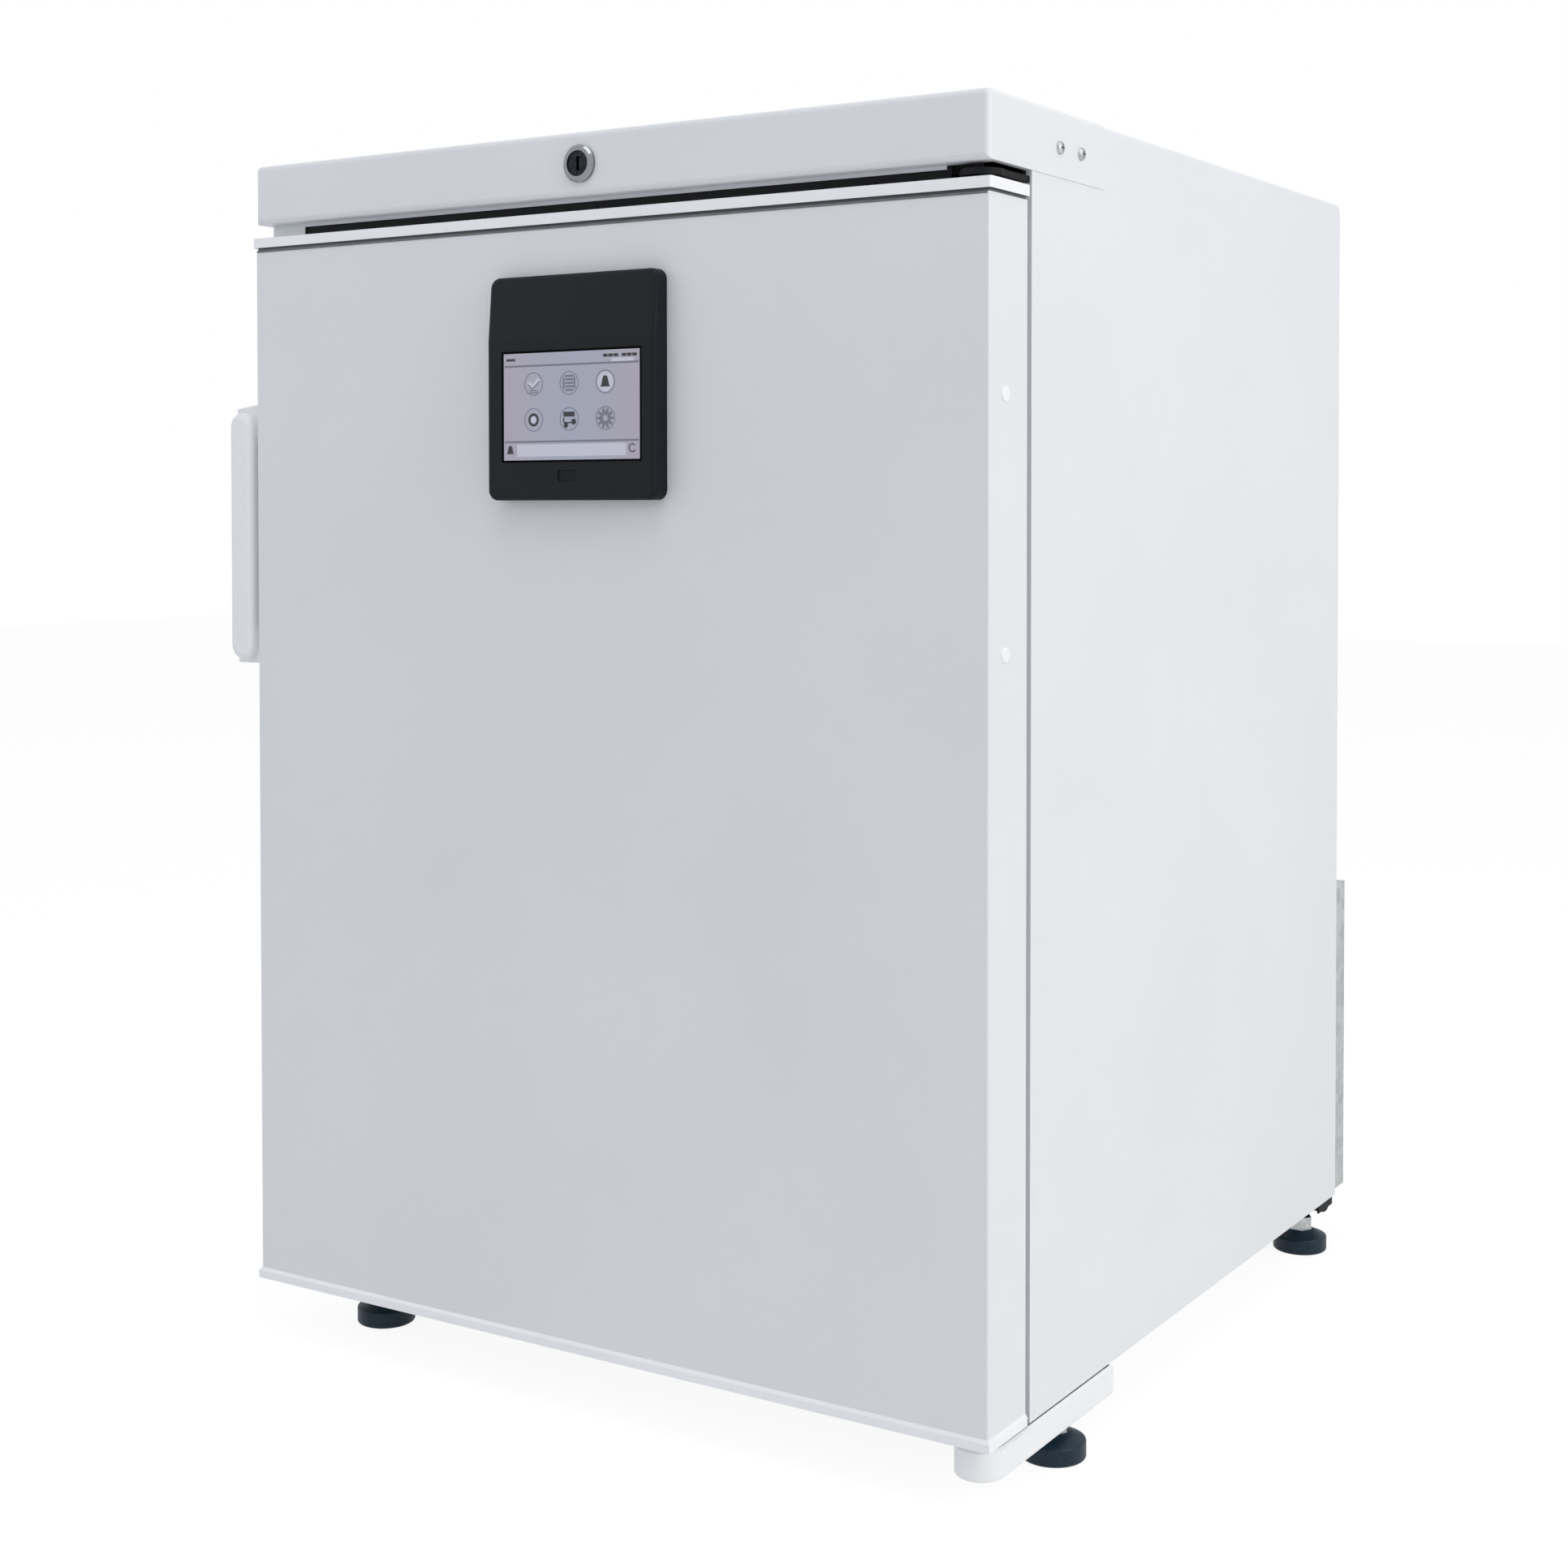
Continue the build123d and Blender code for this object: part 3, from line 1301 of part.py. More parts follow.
def build_nodes():
    nodes = {
        "outer_shell": make_outer_shell(),
        "rear_panel": make_rear_panel(),
        "base_panel": make_base_panel(),
        "cabinet_foam": make_cabinet_foam(),
        "inner_liner": make_inner_liner(),
        "front_frame": make_front_frame(),
        "top_cap": make_top_cap(),
        "cap_screws": make_cap_screws(),
        "top_rail": make_top_rail(),
        "lock_housing": make_lock_housing(),
        "lock_barrel": make_lock_barrel(),
        "lock_cam": make_lock_cam(),
        "upper_hinge_bracket": make_upper_hinge_bracket(),
        "lower_hinge_bracket": make_lower_hinge_bracket(),
        "hinge_screws": make_hinge_screws(),
        "hinge_cover": make_hinge_cover(),
        "foot_inserts": make_foot_inserts(),
        "compressor_tray": make_compressor_tray(),
        "compressor": make_compressor(),
        "compressor_mounts": make_compressor_mounts(),
        "drip_tray": make_drip_tray(),
        "condenser": make_condenser(),
        "refrigerant_pipes": make_refrigerant_pipes(),
        "rear_cover": make_rear_cover(),
        "cover_screws": make_cover_screws(),
        "rear_spacers": make_rear_spacers(),
        "mains_inlet": make_mains_inlet(),
        "evaporator": make_evaporator(),
        "evaporator_cover": make_evaporator_cover(),
        "fan_motor": make_fan_motor(),
        "fan_rotor": make_fan_rotor(),
        "shelf_rails": make_shelf_rails(),
        "roller_brackets": make_roller_brackets(),
        "roller_left": make_roller(-1),
        "roller_right": make_roller(1),
        "door_skin": make_door_skin(),
        "door_foam": make_door_foam(),
        "door_liner": make_door_liner(),
        "door_gasket": make_door_gasket(),
        "door_top_trim": make_door_top_trim(),
        "door_bottom_trim": make_door_bottom_trim(),
        "hinge_bushes": make_hinge_bushes(),
        "handle_body": make_handle_body(),
        "handle_cover": make_handle_cover(),
        "handle_screws": make_handle_screws(),
        "hole_plugs": make_hole_plugs(),
        "display_housing": make_display_housing(),
        "display_screen": make_display_screen(),
        "port_cover": make_port_cover(),
    }
    for i, z in enumerate(shelf_z):
        nodes[f"shelf_{i + 1}"] = make_shelf(z)
    for name, (x, y) in feet.items():
        nodes[f"foot_pad_{name}"] = make_foot_pad(x, y)
        nodes[f"foot_stem_{name}"] = make_foot_stem(x, y)
    return nodes


def place_origin():
    """Centre of the whole outline, from its outermost pieces, on the floor."""
    left = handle_x
    right = foot_front_right[0] + pad_radius
    front = -display_depth
    rear = max(roller_y + roller_radius, rear_cover_rear + inlet_flange)
    return ((left + right) / 2, (front + rear) / 2)


os.makedirs("parts", exist_ok=True)
origin_x, origin_y = place_origin()
for name, shape in build_nodes().items():
    solids = shape if isinstance(shape, list) else [shape]
    moved = [Pos(-origin_x, -origin_y, 0) * solid for solid in solids]
    whole = moved[0] if len(moved) == 1 else Compound(children=moved)
    export_step(whole, f"parts/{name}.step")
print("origin in the drawing:", origin_x, origin_y)
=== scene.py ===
import bpy
import bmesh
import numpy as np
from math import cos, pi, radians, sin
from mathutils import Matrix, Vector


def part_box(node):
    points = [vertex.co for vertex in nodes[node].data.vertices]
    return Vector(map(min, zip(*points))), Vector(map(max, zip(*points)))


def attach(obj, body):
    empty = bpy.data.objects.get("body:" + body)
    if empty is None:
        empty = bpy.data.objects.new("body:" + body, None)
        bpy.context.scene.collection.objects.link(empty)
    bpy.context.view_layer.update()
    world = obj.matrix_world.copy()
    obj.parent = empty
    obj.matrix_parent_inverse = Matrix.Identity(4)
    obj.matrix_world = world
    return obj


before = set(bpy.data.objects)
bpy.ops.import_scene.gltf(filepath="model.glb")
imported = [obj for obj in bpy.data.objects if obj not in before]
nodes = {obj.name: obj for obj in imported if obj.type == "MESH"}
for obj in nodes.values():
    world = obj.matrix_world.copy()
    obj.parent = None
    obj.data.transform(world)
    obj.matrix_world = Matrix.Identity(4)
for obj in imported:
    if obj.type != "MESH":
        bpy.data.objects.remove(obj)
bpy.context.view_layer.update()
mm = 0.001

# Camera, solved from the photograph: its place in metres from the middle of the door's front and its height
# over the floor, its turns in radians, its lens and sensor in millimetres
camera_right = 0.93217
camera_forward = 1.22741
camera_height = 0.610
camera_yaw = 0.5640
camera_pitch = 0.0237
camera_roll = -0.0007
camera_lens = 53.2
sensor_width = 36.0
camera_shift = -0.1401
camera_clip = 0.05

# Light levels: strength of the sky, watts of the softboxes
sky_strength = 0.485
key_power = 39.5
fill_power = 10.5
front_power = 5.5
top_power = 17.0

# Places on the door and the cap, in metres from the frame
skin_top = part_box("door_skin")[1][2]
door_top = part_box("door_top_trim")[1][2]
cap_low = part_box("top_cap")[0][2]
trim_band = 7.0 * mm

# Backlit panel: its colour when dark, how brightly it shines and its roughness
panel_dark = "#1c1d22"
panel_glow = 0.84
panel_roughness = 0.3

# Places of the colour sockets on Blender's Mix node, where sockets of several types share a name
mix_first = 6
mix_second = 7
mix_result = 2


def linear(hex_colour):
    """sRGB hex such as #c9ced6 as a linear colour with full alpha."""
    srgb = np.array([int(hex_colour[i:i + 2], 16) for i in (1, 3, 5)]) / 255.0
    low = srgb / 12.92
    high = ((srgb + 0.055) / 1.055) ** 2.4
    return tuple(np.where(srgb <= 0.04045, low, high)) + (1.0,)


def add(tree, kind, inputs=None, stops=None, **settings):
    """One node: an input is a value or another node's output, a stop is a place on a ramp and its colour."""
    made = tree.nodes.new(kind)
    for name, value in settings.items():
        setattr(made, name, value)
    for number, (place, hex_colour) in enumerate((stops or {}).items()):
        made.color_ramp.elements[number].position = place
        made.color_ramp.elements[number].color = linear(hex_colour)
    for name, value in (inputs or {}).items():
        if isinstance(value, bpy.types.NodeSocket):
            tree.links.new(value, made.inputs[name])
        else:
            made.inputs[name].default_value = value
    return made


def finish(name, surface):
    """Material whose surface function gets the tree and the Object coordinates."""
    made = bpy.data.materials.new(name)
    made.use_nodes = True
    tree = made.node_tree
    tree.nodes.clear()
    coordinates = add(tree, "ShaderNodeTexCoord").outputs["Object"]
    shader = surface(tree, coordinates)
    add(tree, "ShaderNodeOutputMaterial", {"Surface": shader.outputs[0]})
    return made


def powder_coat(tree, coordinates):
    """Polyester powder coat on steel: semi-gloss white with orange peel 3 mm across."""
    peel = add(tree, "ShaderNodeTexNoise", {
        "Vector": coordinates, "Scale": 1.0 / (3.0 * mm), "Detail": 1.0})
    cloud = add(tree, "ShaderNodeTexNoise", {
        "Vector": coordinates, "Scale": 1.0 / (180.0 * mm), "Detail": 3.0})
    bump = add(tree, "ShaderNodeBump", {"Height": peel.outputs["Fac"], "Distance": 0.012 * mm})
    tone = add(tree, "ShaderNodeValToRGB", {"Fac": cloud.outputs["Fac"]},
               {0.35: "#e6e8eb", 0.65: "#e9ebee"})
    return add(tree, "ShaderNodeBsdfPrincipled", {
        "Base Color": tone.outputs["Color"], "Normal": bump.outputs["Normal"], "Roughness": 0.36, "IOR": 1.5})


def moulded_abs(tree, coordinates):
    """Injection moulded white ABS: a fine spark-eroded grain, drawn 1.2 mm across so that it shows."""
    grain = add(tree, "ShaderNodeTexNoise", {
        "Vector": coordinates, "Scale": 1.0 / (1.2 * mm), "Detail": 2.0})
    bump = add(tree, "ShaderNodeBump", {"Height": grain.outputs["Fac"], "Distance": 0.02 * mm})
    tone = add(tree, "ShaderNodeValToRGB", {"Fac": grain.outputs["Fac"]},
               {0.35: "#f3f4f6", 0.65: "#f7f8f9"})
    return add(tree, "ShaderNodeBsdfPrincipled", {
        "Base Color": tone.outputs["Color"], "Normal": bump.outputs["Normal"], "Roughness": 0.42,
        "IOR": 1.53})


def extruded_pvc(tree, coordinates):
    """Extruded PVC trim: white satin skin, slightly uneven, with painted shade in the groove over the door's
    sheet, coloured dark grey there.
    """
    uneven = add(tree, "ShaderNodeTexNoise", {
        "Vector": coordinates, "Scale": 1.0 / (2.0 * mm), "Detail": 1.0})
    bump = add(tree, "ShaderNodeBump", {"Height": uneven.outputs["Fac"], "Distance": 0.01 * mm})
    height = add(tree, "ShaderNodeSeparateXYZ", {"Vector": coordinates}).outputs["Z"]
    # Painted shade: the band of heights between the door's sheet and the trim's face is coloured dark grey
    # for the shadow in the groove.
    groove = (skin_top + door_top - trim_band) / 2
    half = (door_top - trim_band - skin_top) / 2
    groove_shade_mask = add(tree, "ShaderNodeMath", {0: height, 1: groove, 2: half}, operation="COMPARE")
    cloud = add(tree, "ShaderNodeTexNoise", {
        "Vector": coordinates, "Scale": 1.0 / (60.0 * mm), "Detail": 2.0})
    clean = add(tree, "ShaderNodeValToRGB", {"Fac": cloud.outputs["Fac"]},
                {0.35: "#f6f7fa", 0.65: "#fafbfd"})
    # Painted shade colour #55585b wherever the groove mask is 1.
    mixed = {"Factor": groove_shade_mask.outputs[0], mix_first: clean.outputs["Color"], mix_second: linear("#55585b")}
    tone = add(tree, "ShaderNodeMix", mixed, data_type="RGBA")
    return add(tree, "ShaderNodeBsdfPrincipled", {
        "Base Color": tone.outputs[mix_result], "Normal": bump.outputs["Normal"], "Roughness": 0.3,
        "IOR": 1.52})


def formed_polystyrene(tree, coordinates):
    """Vacuum-formed polystyrene liner: glossy white, softly uneven where it was drawn."""
    draw = add(tree, "ShaderNodeTexNoise", {
        "Vector": coordinates, "Scale": 1.0 / (45.0 * mm), "Detail": 1.0})
    bump = add(tree, "ShaderNodeBump", {"Height": draw.outputs["Fac"], "Distance": 0.15 * mm})
    tone = add(tree, "ShaderNodeValToRGB", {"Fac": draw.outputs["Fac"]}, {0.35: "#e9ebec", 0.65: "#eff0f0"})
    return add(tree, "ShaderNodeBsdfPrincipled", {
        "Base Color": tone.outputs["Color"], "Normal": bump.outputs["Normal"], "Roughness": 0.24,
        "IOR": 1.59})


def galvanised_sheet(tree, coordinates):
    """Hot-dip galvanised steel: grey-green zinc with spangles about 9 mm across."""
    spangle = add(tree, "ShaderNodeTexVoronoi", {"Vector": coordinates, "Scale": 1.0 / (9.0 * mm)})
    mottle = add(tree, "ShaderNodeSeparateColor", {"Color": spangle.outputs["Color"]})
    tone = add(tree, "ShaderNodeValToRGB", {"Fac": mottle.outputs["Red"]}, {0.1: "#a9b2b1", 0.9: "#bcc4c3"})
    gloss = add(tree, "ShaderNodeMapRange", {
        "Value": mottle.outputs["Green"], "To Min": 0.34, "To Max": 0.52})
    return add(tree, "ShaderNodeBsdfPrincipled", {
        "Base Color": tone.outputs["Color"], "Roughness": gloss.outputs["Result"], "Metallic": 0.55})


def zinc_plate(tree, coordinates):
    """Bright zinc-plated steel: bluish silver, lightly brushed by the tumbling."""
    cloud = add(tree, "ShaderNodeTexNoise", {
        "Vector": coordinates, "Scale": 1.0 / (4.0 * mm), "Detail": 3.0})
    tone = add(tree, "ShaderNodeValToRGB", {"Fac": cloud.outputs["Fac"]},
               {0.35: "#a8acad", 0.65: "#c3c6c6"})
    gloss = add(tree, "ShaderNodeMapRange", {"Value": cloud.outputs["Fac"], "To Min": 0.22, "To Max": 0.42})
    return add(tree, "ShaderNodeBsdfPrincipled", {
        "Base Color": tone.outputs["Color"], "Roughness": gloss.outputs["Result"], "Metallic": 1.0})


def polished_chrome(tree, coordinates):
    """Chrome-plated zinc die casting: a greyish mirror with faint wipe marks."""
    wipe = add(tree, "ShaderNodeTexNoise", {
        "Vector": coordinates, "Scale": 1.0 / (3.0 * mm), "Detail": 4.0})
    gloss = add(tree, "ShaderNodeMapRange", {"Value": wipe.outputs["Fac"], "To Min": 0.1, "To Max": 0.22})
    return add(tree, "ShaderNodeBsdfPrincipled", {
        "Base Color": linear("#8c8f94"), "Roughness": gloss.outputs["Result"], "Metallic": 1.0})


def burnished_brass(tree, coordinates):
    """Blackened brass lock barrel: dark, worn a little brighter in patches."""
    wear = add(tree, "ShaderNodeTexNoise", {
        "Vector": coordinates, "Scale": 1.0 / (2.5 * mm), "Detail": 4.0})
    tone = add(tree, "ShaderNodeValToRGB", {"Fac": wear.outputs["Fac"]}, {0.45: "#16191f", 0.8: "#33373d"})
    return add(tree, "ShaderNodeBsdfPrincipled", {
        "Base Color": tone.outputs["Color"], "Roughness": 0.34, "Metallic": 0.8})


def black_polypropylene(tree, coordinates):
    """Moulded black polypropylene: matte, with a leathery grain 1.5 mm across."""
    grain = add(tree, "ShaderNodeTexNoise", {
        "Vector": coordinates, "Scale": 1.0 / (1.5 * mm), "Detail": 3.0})
    bump = add(tree, "ShaderNodeBump", {"Height": grain.outputs["Fac"], "Distance": 0.05 * mm})
    tone = add(tree, "ShaderNodeValToRGB", {"Fac": grain.outputs["Fac"]},
               {0.35: "#050709", 0.65: "#0a0d10"})
    return add(tree, "ShaderNodeBsdfPrincipled", {
        "Base Color": tone.outputs["Color"], "Normal": bump.outputs["Normal"], "Roughness": 0.6, "IOR": 1.49,
        "Specular IOR Level": 0.2})


def foot_nylon(tree, coordinates):
    """Glass-filled nylon foot: blue-black with slightly paler fibre flecks at the skin."""
    fibre = add(tree, "ShaderNodeTexNoise", {
        "Vector": coordinates, "Scale": 1.0 / (0.9 * mm), "Detail": 3.0})
    bump = add(tree, "ShaderNodeBump", {"Height": fibre.outputs["Fac"], "Distance": 0.04 * mm})
    tone = add(tree, "ShaderNodeValToRGB", {"Fac": fibre.outputs["Fac"]}, {0.4: "#0c202e", 0.75: "#1b3546"})
    return add(tree, "ShaderNodeBsdfPrincipled", {
        "Base Color": tone.outputs["Color"], "Normal": bump.outputs["Normal"], "Roughness": 0.45, "IOR": 1.53,
        "Specular IOR Level": 0.25})


def charcoal_abs(tree, coordinates):
    """Textured charcoal ABS of the display case: an even fine grain 1 mm across."""
    grain = add(tree, "ShaderNodeTexNoise", {
        "Vector": coordinates, "Scale": 1.0 / (1.0 * mm), "Detail": 2.0})
    bump = add(tree, "ShaderNodeBump", {"Height": grain.outputs["Fac"], "Distance": 0.03 * mm})
    tone = add(tree, "ShaderNodeValToRGB", {"Fac": grain.outputs["Fac"]},
               {0.35: "#0a0f14", 0.65: "#11171e"})
    return add(tree, "ShaderNodeBsdfPrincipled", {
        "Base Color": tone.outputs["Color"], "Normal": bump.outputs["Normal"], "Roughness": 0.5, "IOR": 1.53,
        "Specular IOR Level": 0.16})


def lit_display(tree, coordinates):
    """Backlit liquid crystal panel: bluish in the middle and pinkish towards its sides."""
    low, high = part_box("display_screen")
    middle = (low[0] + high[0]) / 2
    half = (high[0] - low[0]) / 2
    place = add(tree, "ShaderNodeSeparateXYZ", {"Vector": coordinates})
    offset = add(tree, "ShaderNodeMath", {0: place.outputs["X"], 1: middle}, operation="SUBTRACT")
    spread = add(tree, "ShaderNodeMath", {0: offset.outputs[0]}, operation="ABSOLUTE")
    share = add(tree, "ShaderNodeMath", {0: spread.outputs[0], 1: half}, operation="DIVIDE")
    tone = add(tree, "ShaderNodeValToRGB", {"Fac": share.outputs[0]}, {0.1: "#a0a6b8", 0.9: "#a8a2b2"})
    return add(tree, "ShaderNodeBsdfPrincipled", {
        "Base Color": linear(panel_dark), "Emission Color": tone.outputs["Color"],
        "Emission Strength": panel_glow, "Roughness": panel_roughness})


def display_ink(name, hex_colour):
    """Part of the picture on the panel: one even colour, lit from behind as the panel is."""
    def surface(tree, coordinates):
        return add(tree, "ShaderNodeBsdfPrincipled", {
            "Base Color": linear(panel_dark), "Emission Color": linear(hex_colour),
            "Emission Strength": panel_glow, "Roughness": panel_roughness})
    return finish(name, surface)


def sealing_rubber(tree, coordinates):
    """Soft PVC gasket: light grey, slightly chalky."""
    chalk = add(tree, "ShaderNodeTexNoise", {
        "Vector": coordinates, "Scale": 1.0 / (6.0 * mm), "Detail": 3.0})
    tone = add(tree, "ShaderNodeValToRGB", {"Fac": chalk.outputs["Fac"]},
               {0.35: "#bfc4c8", 0.65: "#cdd1d4"})
    return add(tree, "ShaderNodeBsdfPrincipled", {
        "Base Color": tone.outputs["Color"], "Roughness": 0.7, "IOR": 1.52})


def painted_groove_shade(tree, coordinates):
    """Painted shade for the groove under the door's top trim: dull grey, its tone varying at random."""
    drawn = add(tree, "ShaderNodeTexNoise", {
        "Vector": coordinates, "Scale": 1.0 / (8.0 * mm), "Detail": 2.0})
    tone = add(tree, "ShaderNodeValToRGB", {"Fac": drawn.outputs["Fac"]},
               {0.35: "#6f7174", 0.65: "#7c7e81"})
    return add(tree, "ShaderNodeBsdfPrincipled", {
        "Base Color": tone.outputs["Color"], "Roughness": 0.65, "IOR": 1.41})


def black_rubber(tree, coordinates):
    """Vulcanised rubber mount: dull black with a dusty bloom."""
    bloom = add(tree, "ShaderNodeTexNoise", {
        "Vector": coordinates, "Scale": 1.0 / (5.0 * mm), "Detail": 4.0})
    tone = add(tree, "ShaderNodeValToRGB", {"Fac": bloom.outputs["Fac"]},
               {0.35: "#131313", 0.65: "#232323"})
    return add(tree, "ShaderNodeBsdfPrincipled", {
        "Base Color": tone.outputs["Color"], "Roughness": 0.8, "IOR": 1.52})


def window_edge_shade(tree, coordinates):
    """Painted shade round the display's window: near-black and matte, with a fine random mottle."""
    fine_noise = add(tree, "ShaderNodeTexNoise", {
        "Vector": coordinates, "Scale": 1.0 / (0.8 * mm), "Detail": 2.0})
    tone = add(tree, "ShaderNodeValToRGB", {"Fac": fine_noise.outputs["Fac"]},
               {0.35: "#050506", 0.65: "#0a0a0c"})
    return add(tree, "ShaderNodeBsdfPrincipled", {
        "Base Color": tone.outputs["Color"], "Roughness": 0.9, "IOR": 1.5, "Specular IOR Level": 0.05})


def black_enamel(tree, coordinates):
    """Stoved enamel on the compressor: glossy black with a slight sag."""
    sag = add(tree, "ShaderNodeTexNoise", {
        "Vector": coordinates, "Scale": 1.0 / (14.0 * mm), "Detail": 1.0})
    bump = add(tree, "ShaderNodeBump", {"Height": sag.outputs["Fac"], "Distance": 0.1 * mm})
    tone = add(tree, "ShaderNodeValToRGB", {"Fac": sag.outputs["Fac"]}, {0.35: "#0d0d0e", 0.65: "#151516"})
    return add(tree, "ShaderNodeBsdfPrincipled", {
        "Base Color": tone.outputs["Color"], "Normal": bump.outputs["Normal"], "Roughness": 0.25, "IOR": 1.5})


def rolled_aluminium(tree, coordinates):
    """Plain rolled aluminium fins: their sheen varies in patches 1.5 mm across."""
    sheen = add(tree, "ShaderNodeTexNoise", {
        "Vector": coordinates, "Scale": 1.0 / (1.5 * mm), "Detail": 2.0})
    gloss = add(tree, "ShaderNodeMapRange", {"Value": sheen.outputs["Fac"], "To Min": 0.25, "To Max": 0.45})
    return add(tree, "ShaderNodeBsdfPrincipled", {
        "Base Color": linear("#c9cccd"), "Roughness": gloss.outputs["Result"], "Metallic": 1.0})


def drawn_copper(tree, coordinates):
    """Drawn copper tube with darker tarnish in patches about 12 mm long."""
    tarnish = add(tree, "ShaderNodeTexNoise", {
        "Vector": coordinates, "Scale": 1.0 / (12.0 * mm), "Detail": 3.0})
    tone = add(tree, "ShaderNodeValToRGB", {"Fac": tarnish.outputs["Fac"]},
               {0.35: "#8a4a2c", 0.65: "#c27b54"})
    return add(tree, "ShaderNodeBsdfPrincipled", {
        "Base Color": tone.outputs["Color"], "Roughness": 0.35, "Metallic": 1.0})


def rigid_foam(tree, coordinates):
    """Polyurethane foam: pale straw colour with cells about 1.5 mm across."""
    cells = add(tree, "ShaderNodeTexVoronoi", {"Vector": coordinates, "Scale": 1.0 / (1.5 * mm)})
    bump = add(tree, "ShaderNodeBump", {"Height": cells.outputs["Distance"], "Distance": 0.3 * mm})
    tone = add(tree, "ShaderNodeValToRGB", {"Fac": cells.outputs["Distance"]},
               {0.35: "#d8c48c", 0.65: "#eadcae"})
    return add(tree, "ShaderNodeBsdfPrincipled", {
        "Base Color": tone.outputs["Color"], "Normal": bump.outputs["Normal"], "Roughness": 0.85, "IOR": 1.5})


def paint_nodes():
    """Every carried-over CAD node gets the finish of its real counterpart."""
    corners = ["front_left", "front_right", "rear_left", "rear_right"]
    wearers = {
        powder_coat: ["outer_shell", "top_cap", "door_skin", "front_frame", "shelf_1", "shelf_2", "shelf_3"],
        moulded_abs: ["hinge_cover", "handle_body", "handle_cover", "hole_plugs", "evaporator_cover"],
        extruded_pvc: ["door_top_trim", "door_bottom_trim"],
        formed_polystyrene: ["inner_liner", "door_liner"],
        galvanised_sheet: ["rear_panel", "base_panel", "compressor_tray", "rear_cover", "shelf_rails"],
        zinc_plate: ["cap_screws", "cover_screws", "hinge_screws", "handle_screws", "lock_cam",
                     "lower_hinge_bracket", "foot_inserts"] + ["foot_stem_" + corner for corner in corners],
        polished_chrome: ["lock_housing"],
        burnished_brass: ["lock_barrel"],
        black_polypropylene: ["top_rail", "upper_hinge_bracket", "drip_tray", "rear_spacers", "mains_inlet",
                              "fan_motor", "fan_rotor", "roller_left", "roller_right", "port_cover",
                              "hinge_bushes", "roller_brackets"],
        foot_nylon: ["foot_pad_" + corner for corner in corners],
        charcoal_abs: ["display_housing"],
        lit_display: ["display_screen"],
        sealing_rubber: ["door_gasket"],
        black_rubber: ["compressor_mounts"],
        black_enamel: ["compressor"],
        rolled_aluminium: ["condenser", "evaporator"],
        drawn_copper: ["refrigerant_pipes"],
        rigid_foam: ["cabinet_foam", "door_foam"],
    }
    for surface, names in wearers.items():
        made = finish(surface.__name__, surface)
        for name in names:
            for slot in nodes[name].material_slots:
                slot.material = made


def ring(x, z, inner, outer, start=0.0, end=2 * pi, count=32):
    """Flat band: the points of two concentric arcs, p = centre + r (cos a, sin a)."""
    angle = np.linspace(start, end, count)
    return [np.stack([x + r * np.cos(angle), z + r * np.sin(angle)], axis=1) for r in (inner, outer)]


def stroke(points, width):
    """Flat band along a line of points: each point moved half the width to both sides of its tangent."""
    line = np.array(points, dtype=float)
    tangent = np.gradient(line, axis=0)
    tangent /= np.linalg.norm(tangent, axis=1)[:, None]
    side = np.stack([-tangent[:, 1], tangent[:, 0]], axis=1) * width / 2
    return [line - side, line + side]


def bell(x, z, size):
    """Bell outline: its half width grows as a power of the way down, ending in a wider lip."""
    crown = 0.16
    flare = 0.34
    lip = 0.12
    top = 0.6
    tall = 1.1
    down = np.linspace(0.0, 1.0, 14)
    half = size * (crown + flare * down ** 0.55 + lip * down ** 9)
    height = z + size * (top - tall * down)
    return [np.stack([x - half, height], axis=1), np.stack([x + half, height], axis=1)]


def marks(name, bands, y, material):
    """One mesh of flat bands standing upright at y, given thickness by a modifier."""
    weld = 0.01 * mm
    verts = []
    faces = []
    for left, right in bands:
        count = len(left)
        base = sum(len(part) for part in verts)
        both = np.concatenate([left, right])
        verts.append(np.stack([both[:, 0], np.full(2 * count, y), both[:, 1]], axis=1))
        i = np.arange(count - 1) + base
        faces.append(np.stack([i, i + 1, i + 1 + count, i + count], axis=1))
    mesh = bpy.data.meshes.new(name)
    mesh.from_pydata(np.concatenate(verts).tolist(), [], np.concatenate(faces).tolist())
    shape = bmesh.new()
    shape.from_mesh(mesh)
    bmesh.ops.remove_doubles(shape, verts=shape.verts, dist=weld)
    for face in shape.faces:
        face.normal_update()
        if face.normal.y > 0:
            face.normal_flip()
    shape.to_mesh(mesh)
    shape.free()
    piece = bpy.data.objects.new(name, mesh)
    bpy.context.collection.objects.link(piece)
    thick = piece.modifiers.new("thickness", "SOLIDIFY")
    thick.thickness = 0.1 * mm
    thick.offset = -1.0
    mesh.materials.append(material)
    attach(piece, "door")


